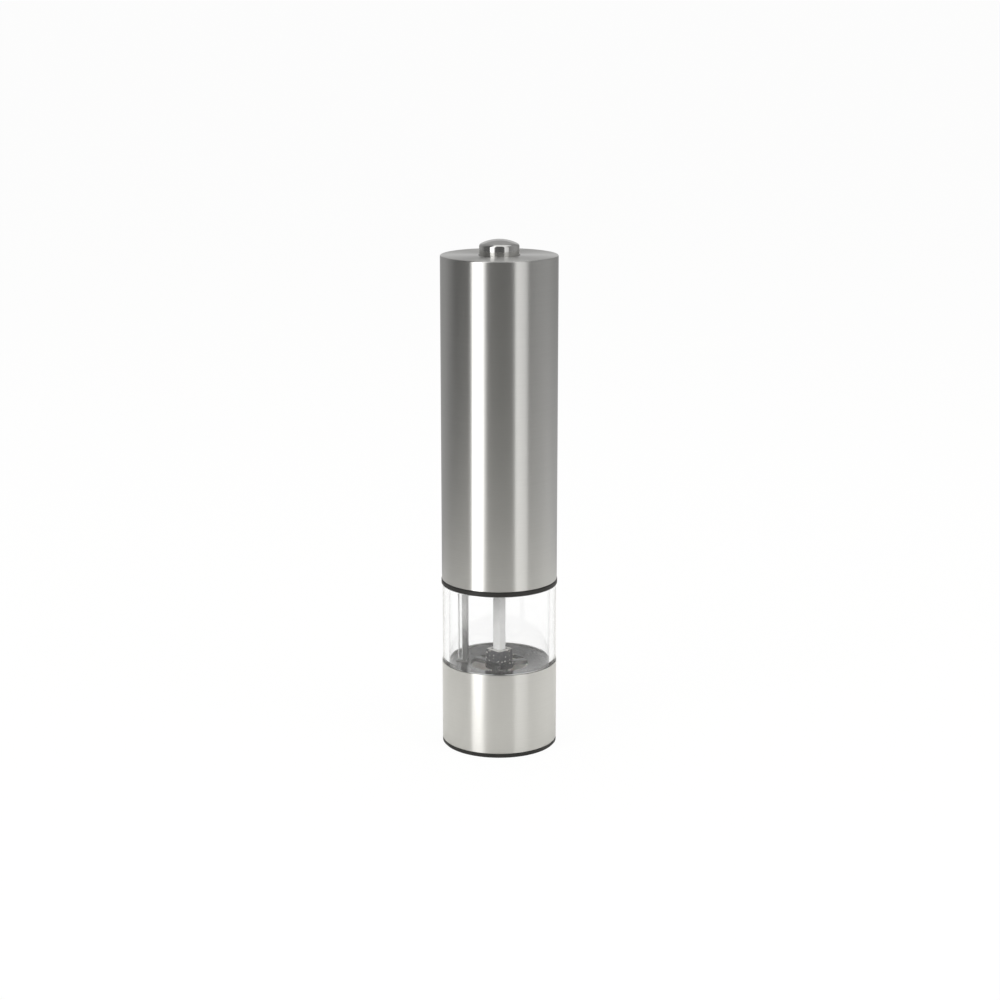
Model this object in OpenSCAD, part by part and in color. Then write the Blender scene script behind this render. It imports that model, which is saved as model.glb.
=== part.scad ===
// Electric pepper mill with a steel cover, a clear pepper chamber and a ceramic grinder.
// Millimetres, +Z up, origin at the centre of the face that the mill stands on.

/* [Steel tubes] */
// Outer diameter of the cover and of the base sleeve
tube_d = 50; // [49.6:0.1:53]
// Sheet thickness of both tubes
tube_t = 0.6; // [0.5:0.05:0.7]
// Rounding of the cover's top edge
cover_round = 1.1; // [0.9:0.1:1.6]
// Height of the base sleeve
sleeve_h = 35.5; // [34.9:0.1:42]

/* [Base] */
// Height of the foot ring that shows under the sleeve
foot_h = 1.9; // [1.5:0.1:3]
// Width of the foot ring's standing face
foot_w = 4.5; // [3.8:0.1:5]
// Wall of the plastic core inside the sleeve
core_t = 1.5; // [1.2:0.1:1.7]

/* [Pepper chamber] */
// Height of the clear wall that shows
chamber_h = 34.8; // [30:0.5:60]
// Thickness of the clear wall
chamber_t = 2.65; // [2.4:0.05:2.8]
// Step from the steel's face in to the clear wall
chamber_step = 0.3; // [0.1:0.05:0.45]
// Height of the neck above the shoulder
neck_h = 4; // [3.4:0.1:6]
// Thickness of the grinder floor at its rim
floor_t = 2.95; // [2.6:0.05:3.5]
// Fall of the grinder floor from its rim to its mouth
floor_fall = 1.2; // [0.6:0.1:1.5]

/* [Collar] */
// Height of the black collar that shows
collar_h = 2.1; // [1.6:0.1:4]
// How far the collar stands out from the steel
collar_lip = 0.2; // [0.05:0.05:0.6]
// Thickness of the collar's bulkhead
bulkhead_t = 2.4; // [2:0.1:3]

/* [Push button] */
// Diameter of the button
button_d = 17; // [15:0.2:18]
// Height of its straight wall above the cover
button_wall_h = 4.4; // [3.6:0.1:5]
// Height of its dome
button_dome_h = 2.2; // [1.4:0.1:3]
// Sheet thickness of the button's cap
button_t = 0.7; // [0.5:0.1:1]
// Travel of the button
button_travel = 2.5; // [1.5:0.1:2.6]
// Room between the switch leaf and the button's guide
guide_gap = 1.85; // [0.85:0.05:11.4]

/* [Drive shaft and hub] */
// Width across the flats of the square drive shaft
shaft_w = 4; // [3.6:0.1:4.1]
// Width across the flats of the feed hub
hub_w = 8.6; // [8.2:0.1:9]
// Height of the feed hub above the floor's rim
hub_h = 5.1; // [4:0.1:8]

/* [Burrs] */
// Outer diameter of the outer burr
burr_d = 26.8; // [26.4:0.1:27.4]
// Height of the outer burr
burr_h = 16.4; // [15.6:0.1:17]
// Radius of the inner burr at its foot
cone_r = 10.2; // [9.8:0.1:10.4]
// Gap between the burrs at their foot
grind_gap = 0.4; // [0.3:0.05:0.6]
// Teeth round the foot of each burr
fine_n = 20; // [16:2:24]
// Flutes round the top of the inner burr
flute_n = 5; // [3:1:6]

/* [Adjusting knob] */
// Diameter of the knob
knob_d = 17; // [15:0.5:18]
// Height of the knob
knob_h = 5.6; // [4.5:0.1:6]
// Grip notches round the knob
knob_n = 12; // [8:1:16]

/* [Gear train] */
// Module of the gears
gear_m = 0.6; // [0.55:0.01:0.61]
// Teeth of each sun gear
sun_n = 12; // [12, 15]
// Teeth of each planet gear
planet_n = 15; // [9, 15]
// Face width of the planet gears
planet_h = 4.2; // [3.4:0.1:5]

/* [Motor] */
// Diameter of the motor can
motor_d = 27.7; // [27:0.1:28.4]
// Length of the motor can
motor_l = 30.5; // [29.5:0.5:31.5]
// Diameter of the motor shaft
motor_shaft_d = 2.3; // [2:0.1:2.5]
// Outer diameter of the motor housing
housing_d = 40; // [39.8:0.1:41]
// Wall of the motor housing
housing_t = 1.6; // [1.2:0.1:1.8]

/* [Cells] */
// Diameter of one cell
cell_d = 14.2; // [13.8:0.1:14.5]
// Length of one cell with its nub
cell_l = 50; // [49:0.1:50.6]
// Height of a contact spring under a cell
cell_spring_h = 3; // [2.6:0.1:3.6]

/* [Lamp] */
// Angle of the lamp and its conduit round the axis
lamp_a = 175; // [150:1:210]
// Diameter of the lamp
led_d = 5; // [4.6:0.1:5.2]
// Distance of the conduit from the axis
conduit_r = 16.1; // [15.8:0.1:16.4]
// Width of the conduit along the radius
conduit_w = 4.6; // [4.4:0.1:5]

/* [Hidden] */
$fn = 96;

// Clearances: pushed together, running, sliding, eased and at a seam
fit = 0.05;
run = 0.05;
slip = 0.15;
ease = 0.3;
seam = 0.1;
// Overrun of every cut, and the small chamfer of moulded edges
over = 1;
edge = 0.3;

// Steel tubes
tube_r = tube_d / 2;
tube_ri = tube_r - tube_t;
sleeve_top = foot_h + sleeve_h;
shoulder_z = sleeve_top + chamber_h;
cover_z = shoulder_z + collar_h + seam;
sheet_edge = tube_t / 4;

// Clear chamber
chamber_r = tube_r - chamber_step;
bore_r = chamber_r - chamber_t;
spigot_h = 6;
spigot_r = tube_ri - fit;
neck_t = 1.3;
neck_r = bore_r + neck_t;
neck_top = shoulder_z + neck_h;

// Base core and foot ring
core_r = tube_ri - fit;
core_ri = core_r - core_t;
core_top = sleeve_top - spigot_h;
ledge_t = 2;
ledge_w = 2.6;
foot_tongue_h = 3;
foot_tongue_t = 1.2;
foot_chamfer = 0.5;

// Grinder floor with its burr socket, bearing ring and arms
floor_drop = 0.4;
floor_z = sleeve_top - floor_drop;
floor_base = floor_z - floor_t;
floor_r = bore_r - fit;
floor_skirt_t = 1.6;
mouth_z = floor_z - floor_fall;
burr_r = burr_d / 2;
mouth_lip = 0.6;
mouth_r = burr_r - mouth_lip;
socket_t = 1.6;
socket_r = burr_r + fit + socket_t;
burr_z = floor_base - burr_h;
boss_r = 2.4;
boss_pcr = socket_r + boss_r - socket_t / 2;
bearing_ring_r = 6.2;
bearing_ring_rise = 0.8;
arm_w = 3;
arm_turn = 22;
arm_n = 3;
pad_margin = 0.6;

// Screws in the base
screw_r = 1;
screw_head_r = 1.9;
screw_head_h = 1.2;
screw_l = 8;
slot_w = 0.5;
slot_depth = 0.6;
retainer_t = 1.6;
retainer_gap = 0.5;

// Burr teeth
fine_h = 5;
fine_slope_share = 0.2;
fine_top_r = cone_r - fine_slope_share * fine_h;
fine_depth = 0.7;
inner_h = 14.5;
inner_top_r = 5.6;
flute_depth = 2.2;
flute_r = 2;
funnel_lip = 0.5;
tooth_lean = atan(fine_slope_share);
spring_pocket_r = 4.15;
spring_pocket_h = 4;
spring_wire = 0.5;
burr_spring_turns = 3;

// Shaft, hub and knob
shaft_turn = 45;
shaft_slip = 0.1;
journal_r = 3.7;
hub_gap = 0.2;
hub_z = mouth_z + bearing_ring_rise + hub_gap;
hub_top = floor_z + hub_h;
hub_corner = 0.5;
thread_r = 1.7;
washer_t = 0.8;
washer_r = 6.4;
washer_ri = 3.05;
knob_top = burr_z - washer_t - seam;
knob_z = knob_top - knob_h;
knob_notch_r = 1.3;
knob_dish_r = 5.6;
knob_dish_h = 1.6;
shaft_tail = 1.6;
shaft_z = knob_z - shaft_tail;
square_z = burr_z - seam;

// Conduit and lamp
conduit_d = 4;
conduit_t = 0.8;
conduit_top = shoulder_z - edge;
flare_h = 5.5;
flare_lean = 0.9;
contact_t = 0.3;
pin_place_r = conduit_r + flare_lean;
contact_gap = 0.6;
wire_d = 0.9;
wire_r = wire_d / 2;
wire_pitch = 1.3;
led_r = led_d / 2;
led_flange_w = 0.3;
led_flange_r = led_r + led_flange_w;
led_flange_h = 1;
led_barrel_h = 6.1;
led_leg_r = 0.25;
led_leg_h = 4;
led_leg_pitch = 2.54;
lamp_r = socket_r + edge + led_flange_r;
lamp_z = burr_z - retainer_t - edge;
holder_t = 1.1;
holder_h = 3;
holder_arm_w = 3.4;

// Collar
collar_r = tube_r + collar_lip;
seat_r = tube_ri - slip;
seat_t = 1.5;
seat_h = 5;
bulk_z = neck_top + slip;
bulk_top = bulk_z + bulkhead_t;
plug_r = bore_r - slip;
plug_t = 1.6;
plug_z = shoulder_z + collar_h / 2;
seal_wire = 1;
rim_seal_z = (plug_z + bulk_z) / 2;
cover_seal_z = bulk_top + seat_h / 2;
locator_t = 1.2;
locator_h = 2;

// Gear train, with the output stage below and the motor stage above
pressure_angle = 25;
tooth_thin = 0.08;
addendum_share = 0.9;
dedendum_share = 1.2;
ring_n = sun_n + 2 * planet_n;
sun_pr = gear_m * sun_n / 2;
planet_pr = gear_m * planet_n / 2;
ring_pr = gear_m * ring_n / 2;
orbit_r = sun_pr + planet_pr;
ring_tip_r = ring_pr - addendum_share * gear_m;
ring_root_r = ring_pr + dedendum_share * gear_m;
ring_wall = 2.4;
gearbox_r = ring_root_r + ring_wall;
gearbox_floor_t = 1.2;
gear_gap = 0.3;
carrier_t = 1.9;
carrier_r = ring_tip_r - 2 * edge;
pin_r = 0.9;
pin_gap = 0.1;
out_boss_r = 4.6;
bush_t = 1.2;
carrier_2_z = bulk_top + gearbox_floor_t + gear_gap;
planet_2_z = carrier_2_z + carrier_t + gear_gap;
carrier_1_z = planet_2_z + planet_h + gear_gap;
planet_1_z = carrier_1_z + carrier_t + gear_gap;
motor_plate_z = planet_1_z + planet_h + gear_gap;
out_boss_z = plug_z + seam;
socket_top = carrier_2_z + carrier_t;
socket_floor = 0.3;
shaft_top = socket_top - socket_floor;
ear_r = 2.1;
ear_turn = lamp_a + 180;
ear_pcr = gearbox_r + edge;
ear_n = 3;

// Motor
motor_plate_t = 2;
motor_z = motor_plate_z + motor_plate_t;
motor_r = motor_d / 2;
motor_t = 1;
motor_top = motor_z + motor_l;
motor_boss_r = 4.9;
motor_boss_h = 1.4;
motor_screw_pcr = 8.2;
motor_screw_l = 4;
motor_bush_r = 3;
motor_bush_l = 3;
motor_hole_r = 2.3;
cap_t = 2;
cap_boss_r = 4.4;
cap_boss_h = 1.8;
magnet_t = 2.2;
magnet_half_angle = 62;
armature_gap = 0.6;
armature_r = motor_r - motor_t - magnet_t - armature_gap;
armature_h = 13;
armature_lift = 3;
armature_z = motor_z + motor_t + motor_bush_l + armature_lift;
pole_n = 5;
pole_w = 2.6;
pole_shoe_t = 1.5;
pole_slot = 1.6;
core_hub_r = 3.4;
winding_h = 2.6;
winding_w = 1.1;
commutator_r = 3.2;
commutator_h = 4.6;
commutator_slot = 0.4;
brush_w = 2;
brush_h = 2.6;
terminal_w = 2.4;
terminal_t = 0.5;
terminal_h = 3.6;
terminal_r = 9.6;
vent_w = 3;
vent_r = 8.6;

// Motor housing
housing_r = housing_d / 2;
housing_ri = housing_r - housing_t;
lead_room = 5;
tray_z = motor_top + cap_t + lead_room;
housing_boss_r = 2.1;
housing_boss_h = 9;
housing_boss_pcr = housing_ri - housing_boss_r + 2 * fit;
housing_boss_turn = 45;
housing_rib_n = 6;
housing_rib_t = 1.2;
housing_rib_turn = 15;
housing_slot_w = 7;
housing_slot_h = 22;

// Battery tray
tray_t = 2.4;
cell_gap = 0.8;
cell_pitch = cell_d + cell_gap;
cell_r = cell_d / 2;
plate_t = 0.4;
cell_play = 0.2;
bay_h = plate_t + cell_spring_h + cell_l + cell_play + plate_t;
bay_z = tray_z + tray_t;
tray_top = bay_z + bay_h + tray_t;
strut_w = 6;
strut_t = 3.2;
post_r = 2.6;
nub_r = 2.6;
nub_h = 1.2;
cell_edge = 0.5;
contact_w = 8;
cell_spring_wire = 0.5;
cell_spring_turns = 3;
cell_spring_r0 = 4;
cell_spring_r1 = 2.4;
tray_notch_w = 4;

// Switch
switch_h = 9;
switch_r = 15;
leaf_t = 0.4;
leaf_w = 5;
leaf_arm = 12;
leaf_reach = 8;
leaf_pad = 4;
leaf_z = tray_top + switch_h;
leaf_turn = asin(button_travel / leaf_arm);
leaf_drop = (leaf_arm + leaf_reach) * tan(leaf_turn);
switch_deck_h = 2.4;
rivet_r = 1.1;
rivet_l = 2.4;
dimple_r = 1;

// Button, its guide and its stem
button_r = button_d / 2;
guide_h = 11.4;
guide_z = leaf_z + guide_gap;
plate_under = guide_z + guide_h;
cover_top = plate_under + tube_t;
cover_h = cover_top - cover_z;
button_top = cover_top + button_wall_h + button_dome_h;
dome_sr = (button_r * button_r + button_dome_h * button_dome_h) / (2 * button_dome_h);
button_chamfer = 0.9;
hole_gap = 0.35;
button_skirt = 5.2;
button_z = cover_top - button_skirt;
guide_t = 1.5;
guide_flange_r = 20;
guide_flange_t = 2;
guide_floor_t = 1.4;
button_flange_w = 0.8;
button_flange_t = 1;
guide_ri = button_r + button_flange_w + slip;
stem_r = 2.4;
tip_r = 1.2;
tip_h = 2.4;
stem_flange_t = 1.4;
stem_head_z = button_z + 2 * edge;
stem_z = leaf_z + leaf_t + seam;
button_spring_turns = 4;
button_spring_r = 4.4;
button_wire = 0.6;
gusset_n = 4;
gusset_t = 1.4;

// Ring of one wall
module ring(ro, ri, h) {
    rotate_extrude() translate([ri, 0]) square([ro - ri, h]);
}

// Places its children round the axis
module around(n, r, turn) {
    for (i = [0:n - 1]) rotate(turn + i * 360 / n) translate([r, 0, 0]) children();
}

// Centre of each ring of a coil whose radius goes from r0 to r1
function coil_centre(i, rings, r0, r1, h, wire, turns) =
    let (a = i * 360 * turns / rings, r = r0 + (r1 - r0) * i / rings)
    [r * cos(a), r * sin(a), wire / 2 + (h - wire) * i / rings];

// Least distance between the turns of a coil, less its wire
function coil_gap(r0, r1, h, wire, turns, per_turn) =
    let (rings = turns * per_turn)
    min([for (i = [0:rings - per_turn / 2]) for (j = [i + per_turn / 2:rings])
        norm(coil_centre(i, rings, r0, r1, h, wire, turns)
            - coil_centre(j, rings, r0, r1, h, wire, turns)) - wire]);

// Spring wound as one unbroken tube
module coil(r0, r1, h, wire, turns, name) {
    per_turn = 8;
    sides = 6;
    rings = turns * per_turn;
    echo(str(name, " least gap between turns: ", coil_gap(r0, r1, h, wire, turns, per_turn)));
    points = [for (i = [0:rings]) for (k = [0:sides - 1])
        let (c = coil_centre(i, rings, r0, r1, h, wire, turns), a = i * 360 / per_turn, b = k * 360 / sides)
        c + wire / 2 * [cos(b) * cos(a), cos(b) * sin(a), sin(b)]];
    walls = [for (i = [0:rings - 1]) for (k = [0:sides - 1])
        let (p = i * sides + k, q = i * sides + (k + 1) % sides)
        each [[p, p + sides, q], [q, p + sides, q + sides]]];
    last = rings * sides;
    ends = [for (k = [1:sides - 2]) each [[0, k, k + 1], [last, last + k + 1, last + k]]];
    polyhedron(points, concat(walls, ends));
}

// Involute outline: half the angle of a tooth at radius r
function involute(a) = tan(a) * 180 / PI - a;
function half_tooth(n, r, thin) =
    let (pr = gear_m * n / 2, base = pr * cos(pressure_angle))
    90 / n - thin / pr * 90 / PI + involute(pressure_angle) - involute(acos(base / max(r, base)));

// Outline of a gear, or with a negative thinning of the hole in a ring gear
function gear_outline(n, root, tip, thin) =
    let (steps = 4, radii = [for (k = [0:steps]) root + (tip - root) * k / steps])
    [for (i = [0:n - 1]) each concat(
        [for (k = [0:steps]) let (a = i * 360 / n - half_tooth(n, radii[k], thin))
            radii[k] * [cos(a), sin(a)]],
        [for (k = [0:steps]) let (j = steps - k, a = i * 360 / n + half_tooth(n, radii[j], thin))
            radii[j] * [cos(a), sin(a)]])];

module gear(n, h) {
    pr = gear_m * n / 2;
    linear_extrude(h)
        polygon(gear_outline(n, pr - dedendum_share * gear_m, pr + addendum_share * gear_m, tooth_thin));
}

// Screw with its head below, its shank up and a cross recess
module screw(length) {
    difference() {
        union() {
            cylinder(r = screw_head_r, h = screw_head_h);
            cylinder(r = screw_r, h = screw_head_h + length);
        }
        for (a = [0, 90]) rotate(a) translate([-screw_head_r / 2, -slot_w / 2, -over])
            cube([screw_head_r, slot_w, over + slot_depth]);
    }
}

// Round wire along straight runs, with a ball at each bend
module wire_run(points, r) {
    for (i = [0:len(points) - 2]) {
        v = points[i + 1] - points[i];
        translate(points[i]) rotate([0, acos(v[2] / norm(v)), atan2(v[1], v[0])])
            cylinder(r = r, h = norm(v));
    }
    for (i = [1:len(points) - 2]) translate(points[i]) sphere(r = r + fit / 2);
}

// Square bar on the shaft's turn
module square_bar(w, h) {
    rotate(shaft_turn) translate([-w / 2, -w / 2, 0]) cube([w, w, h]);
}

// Base
module base_sleeve() {
    color("silver") translate([0, 0, foot_h]) rotate_extrude() polygon([
        [tube_ri, 0], [tube_r - sheet_edge, 0], [tube_r, sheet_edge], [tube_r, sleeve_h - sheet_edge],
        [tube_r - sheet_edge, sleeve_h], [tube_ri, sleeve_h]
    ]);
}

module foot_ring() {
    foot_ri = tube_r - foot_w;
    tongue_r = core_ri - fit;
    color("dimgray") rotate_extrude() polygon([
        [foot_ri + edge, 0], [tube_r - foot_chamfer, 0], [tube_r, foot_chamfer], [tube_r, foot_h],
        [tongue_r, foot_h], [tongue_r, foot_h + foot_tongue_h],
        [tongue_r - foot_tongue_t, foot_h + foot_tongue_h], [tongue_r - foot_tongue_t, foot_h],
        [foot_ri, foot_h], [foot_ri, edge]
    ]);
}

module base_core() {
    ledge_ri = core_ri - ledge_w;
    color("dimgray") translate([0, 0, foot_h]) rotate_extrude() polygon([
        [core_ri, 0], [core_r, 0], [core_r, core_top - foot_h], [ledge_ri, core_top - foot_h],
        [ledge_ri, core_top - foot_h - ledge_t], [core_ri, core_top - foot_h - ledge_t - ledge_w]
    ]);
}

module pepper_chamber() {
    color("lightcyan", 0.4) rotate_extrude() polygon([
        [bore_r, core_top], [spigot_r, core_top], [spigot_r, sleeve_top + seam],
        [chamber_r, sleeve_top + seam], [chamber_r, shoulder_z], [neck_r, shoulder_z],
        [neck_r, neck_top - edge], [neck_r - edge, neck_top], [bore_r, neck_top]
    ]);
}

module grinder_floor() {
    hole_w = conduit_w - 2 * conduit_t;
    hole_d = conduit_d - 2 * conduit_t;
    color("dimgray") difference() {
        union() {
            rotate_extrude() polygon([
                [mouth_r, floor_base], [burr_r + fit, floor_base], [burr_r + fit, burr_z], [socket_r, burr_z],
                [socket_r, floor_base - edge], [floor_r - floor_skirt_t, floor_base - edge],
                [floor_r - floor_skirt_t, core_top], [floor_r, core_top], [floor_r, floor_z],
                [mouth_r, mouth_z]
            ]);
            translate([0, 0, floor_base])
                ring(bearing_ring_r, journal_r + run, mouth_z - floor_base + bearing_ring_rise);
            for (i = [0:arm_n - 1]) rotate(arm_turn + i * 360 / arm_n)
                translate([bearing_ring_r - edge, -arm_w / 2, floor_base])
                cube([mouth_r - bearing_ring_r + 2 * edge, arm_w, mouth_z - floor_base]);
            around(arm_n, boss_pcr, lamp_a + 180 / arm_n) translate([0, 0, burr_z])
                cylinder(r = boss_r, h = floor_base - burr_z);
            rotate(lamp_a)
                translate([conduit_r - conduit_w / 2 - pad_margin, -conduit_d / 2 - pad_margin, floor_base])
                cube([conduit_w + 2 * pad_margin, conduit_d + 2 * pad_margin, floor_t]);
        }
        around(arm_n, boss_pcr, lamp_a + 180 / arm_n) translate([0, 0, burr_z - over])
            cylinder(r = screw_r + fit, h = over + screw_l);
        rotate(lamp_a) translate([conduit_r - hole_w / 2, -hole_d / 2, floor_base - over])
            cube([hole_w, hole_d, floor_t + 2 * over]);
    }
}

// Burrs with a fine zone of grooves that lean with the cone
module outer_burr() {
    color("white") translate([0, 0, burr_z]) difference() {
        rotate_extrude() polygon([
            [cone_r + grind_gap, 0], [burr_r, 0], [burr_r, burr_h], [mouth_r - funnel_lip, burr_h],
            [fine_top_r + grind_gap, fine_h]
        ]);
        for (i = [0:fine_n - 1]) rotate(i * 360 / fine_n) translate([cone_r + grind_gap, 0, 0])
            rotate([0, -tooth_lean, 0]) translate([0, 0, -over]) rotate(45)
            translate([-fine_depth / 2, -fine_depth / 2, 0])
            cube([fine_depth, fine_depth, fine_h + over]);
    }
}

module burr_retainer() {
    color("dimgray") translate([0, 0, burr_z - retainer_t]) difference() {
        union() {
            ring(socket_r, cone_r + grind_gap + retainer_gap, retainer_t);
            around(arm_n, boss_pcr, lamp_a + 180 / arm_n) cylinder(r = boss_r, h = retainer_t);
        }
        around(arm_n, boss_pcr, lamp_a + 180 / arm_n) translate([0, 0, -over])
            cylinder(r = screw_r + fit, h = retainer_t + 2 * over);
    }
}

module retainer_screws() {
    color("silver") around(arm_n, boss_pcr, lamp_a + 180 / arm_n)
        translate([0, 0, burr_z - retainer_t - screw_head_h]) screw(screw_l);
}

// Lamp circuit in the base
module lamp_conduit() {
    h = conduit_top - floor_z;
    inner = conduit_r - conduit_w / 2;
    outer = conduit_r + conduit_w / 2;
    color("gainsboro") rotate(lamp_a) translate([0, 0, floor_z]) difference() {
        translate([0, conduit_d / 2, 0]) rotate([90, 0, 0]) linear_extrude(conduit_d) polygon([
            [inner, 0], [outer, 0], [outer, h - flare_h], [outer + flare_lean, h], [inner, h]
        ]);
        translate([inner + conduit_t, conduit_t - conduit_d / 2, -over])
            cube([conduit_w - 2 * conduit_t, conduit_d - 2 * conduit_t, h + 2 * over]);
    }
}

module lamp_contacts() {
    pad = (conduit_d - contact_gap) / 2;
    color("goldenrod") rotate(lamp_a) for (s = [0, 1]) mirror([0, s, 0])
        translate([conduit_r - conduit_w / 2, contact_gap / 2, conduit_top])
        cube([conduit_w + flare_lean, pad, contact_t]);
}

module lamp_wires() {
    legs_z = lamp_z + led_barrel_h + led_flange_h + led_leg_h;
    color("firebrick") rotate(lamp_a) for (s = [0, 1]) mirror([0, s, 0]) wire_run([
        [lamp_r, led_leg_pitch / 2, legs_z],
        [lamp_r, led_leg_pitch / 2, legs_z + holder_t],
        [conduit_r, wire_pitch / 2, floor_base - edge],
        [conduit_r, wire_pitch / 2, conduit_top]
    ], wire_r);
}

module lamp() {
    color("lightyellow") rotate(lamp_a) translate([lamp_r, 0, lamp_z]) {
        sphere(r = led_r);
        cylinder(r = led_r, h = led_barrel_h);
        translate([0, 0, led_barrel_h]) cylinder(r = led_flange_r, h = led_flange_h);
        for (s = [-1, 1]) translate([0, s * led_leg_pitch / 2, led_barrel_h])
            cylinder(r = led_leg_r, h = led_flange_h + led_leg_h);
    }
}

module lamp_holder() {
    ring_z = lamp_z + led_barrel_h - holder_h;
    color("dimgray") intersection() {
        difference() {
            union() {
                rotate(lamp_a) translate([lamp_r, 0, ring_z])
                    cylinder(r = led_r + fit + holder_t, h = holder_h);
                rotate(lamp_a) translate([lamp_r, -holder_arm_w / 2, ring_z])
                    cube([core_ri - lamp_r, holder_arm_w, holder_h]);
            }
            rotate(lamp_a) translate([lamp_r, 0, ring_z - over])
                cylinder(r = led_r + fit, h = holder_h + 2 * over);
        }
        translate([0, 0, ring_z - over]) ring(core_ri - fit, socket_r + fit, holder_h + 2 * over);
    }
}

// Shaft, hub and inner burr
module drive_shaft() {
    color("gainsboro") {
        translate([0, 0, square_z]) square_bar(shaft_w, shaft_top - square_z);
        translate([0, 0, shaft_z]) cylinder(r = thread_r, h = square_z - shaft_z);
    }
}

module feed_hub() {
    h = hub_top - hub_z;
    w = hub_w / 2;
    c = hub_corner;
    color("dimgray") difference() {
        union() {
            translate([0, 0, hub_z]) rotate(shaft_turn) linear_extrude(h - edge) polygon([
                [w, c - w], [w, w - c], [w - c, w], [c - w, w],
                [-w, w - c], [-w, c - w], [c - w, -w], [w - c, -w]
            ]);
            translate([0, 0, hub_top - edge]) rotate(shaft_turn) linear_extrude(edge) polygon([
                [w - edge, c - w], [w - edge, w - c], [w - c, w - edge], [c - w, w - edge],
                [edge - w, w - c], [edge - w, c - w], [c - w, edge - w], [w - c, edge - w]
            ]);
            translate([0, 0, floor_base]) cylinder(r = journal_r, h = hub_z - floor_base);
        }
        translate([0, 0, floor_base - over]) square_bar(shaft_w + 2 * fit, hub_top - floor_base + 2 * over);
    }
}

module burr_spring() {
    seat_z = burr_z + inner_h - spring_pocket_h;
    color("silver") translate([0, 0, seat_z])
        coil(shaft_w * sqrt(2) / 2 + spring_wire + slip, shaft_w * sqrt(2) / 2 + spring_wire + slip,
            floor_base - seat_z, spring_wire, burr_spring_turns, "burr_spring");
}

module inner_burr() {
    cut_h = inner_h - fine_h;
    lean = atan((fine_top_r - inner_top_r) / cut_h);
    color("white") translate([0, 0, burr_z]) difference() {
        union() {
            difference() {
                cylinder(r1 = cone_r, r2 = fine_top_r, h = fine_h);
                for (i = [0:fine_n - 1]) rotate(i * 360 / fine_n) translate([cone_r, 0, 0])
                    rotate([0, -tooth_lean, 0]) translate([0, 0, -over]) rotate(45)
                    translate([-fine_depth / 2, -fine_depth / 2, 0])
                    cube([fine_depth, fine_depth, 2 * fine_h]);
            }
            translate([0, 0, fine_h]) difference() {
                cylinder(r1 = fine_top_r, r2 = inner_top_r, h = cut_h);
                around(flute_n, fine_top_r, 0) translate([flute_r - flute_depth, 0, 0]) rotate([0, -lean, 0])
                    translate([0, 0, -over]) cylinder(r = flute_r, h = inner_h);
            }
        }
        translate([0, 0, -over]) square_bar(shaft_w + 2 * shaft_slip, inner_h + 2 * over);
        translate([0, 0, inner_h - spring_pocket_h])
            cylinder(r = spring_pocket_r, h = spring_pocket_h + over);
    }
}

module thrust_washer() {
    color("silver") translate([0, 0, burr_z - washer_t]) ring(washer_r, washer_ri, washer_t);
}

module adjust_knob() {
    knob_r = knob_d / 2;
    color("dimgray") translate([0, 0, knob_z]) difference() {
        rotate_extrude() polygon([
            [thread_r + run, knob_dish_h], [knob_dish_r - knob_dish_h, knob_dish_h], [knob_dish_r, 0],
            [knob_r - edge, 0], [knob_r, edge], [knob_r, knob_h - edge], [knob_r - edge, knob_h],
            [thread_r + run, knob_h]
        ]);
        around(knob_n, knob_r + knob_notch_r / 2, 0) translate([0, 0, -over])
            cylinder(r = knob_notch_r, h = knob_h + 2 * over);
    }
}

// Collar, seals and bushes
module collar() {
    bush_bore_r = out_boss_r + run + bush_t + fit;
    color("dimgray") difference() {
        rotate_extrude() polygon([
            [bush_bore_r, bulk_z], [plug_r - plug_t, bulk_z], [plug_r - plug_t, plug_z + edge],
            [plug_r - plug_t + edge, plug_z], [plug_r - edge, plug_z], [plug_r, plug_z + edge],
            [plug_r, rim_seal_z - seal_wire / 2], [plug_r - seal_wire, rim_seal_z - seal_wire / 2],
            [plug_r - seal_wire, rim_seal_z + seal_wire / 2], [plug_r, rim_seal_z + seal_wire / 2],
            [plug_r, bulk_z],
            [neck_r + slip, bulk_z], [neck_r + slip, shoulder_z], [collar_r - edge, shoulder_z],
            [collar_r, shoulder_z + edge], [collar_r, shoulder_z + collar_h - edge],
            [collar_r - edge, shoulder_z + collar_h], [seat_r, shoulder_z + collar_h],
            [seat_r, cover_seal_z - seal_wire / 2], [seat_r - seal_wire, cover_seal_z - seal_wire / 2],
            [seat_r - seal_wire, cover_seal_z + seal_wire / 2], [seat_r, cover_seal_z + seal_wire / 2],
            [seat_r, bulk_top + seat_h - edge], [seat_r - edge, bulk_top + seat_h],
            [seat_r - seat_t, bulk_top + seat_h], [seat_r - seat_t, bulk_top],
            [housing_r + fit + locator_t, bulk_top], [housing_r + fit + locator_t, bulk_top + locator_h],
            [housing_r + fit, bulk_top + locator_h], [housing_r + fit, bulk_top],
            [bush_bore_r, bulk_top]
        ]);
        around(ear_n, ear_pcr, ear_turn) translate([0, 0, bulk_z - over])
            cylinder(r = screw_r + fit, h = bulkhead_t + 2 * over);
        rotate(lamp_a) for (s = [-1, 1]) translate([pin_place_r, s * wire_pitch, bulk_z - over])
            cylinder(r = wire_r + 2 * fit, h = bulkhead_t + 2 * over);
    }
}

// Ring of round section that lies in its groove, behind a face of radius r
module seal(r) {
    rotate_extrude() translate([r - seal_wire / 2, 0]) circle(r = seal_wire / 2 - fit);
}

module rim_seal() {
    color("black") translate([0, 0, rim_seal_z]) seal(plug_r);
}

module cover_seal() {
    color("black") translate([0, 0, cover_seal_z]) seal(seat_r);
}

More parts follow.
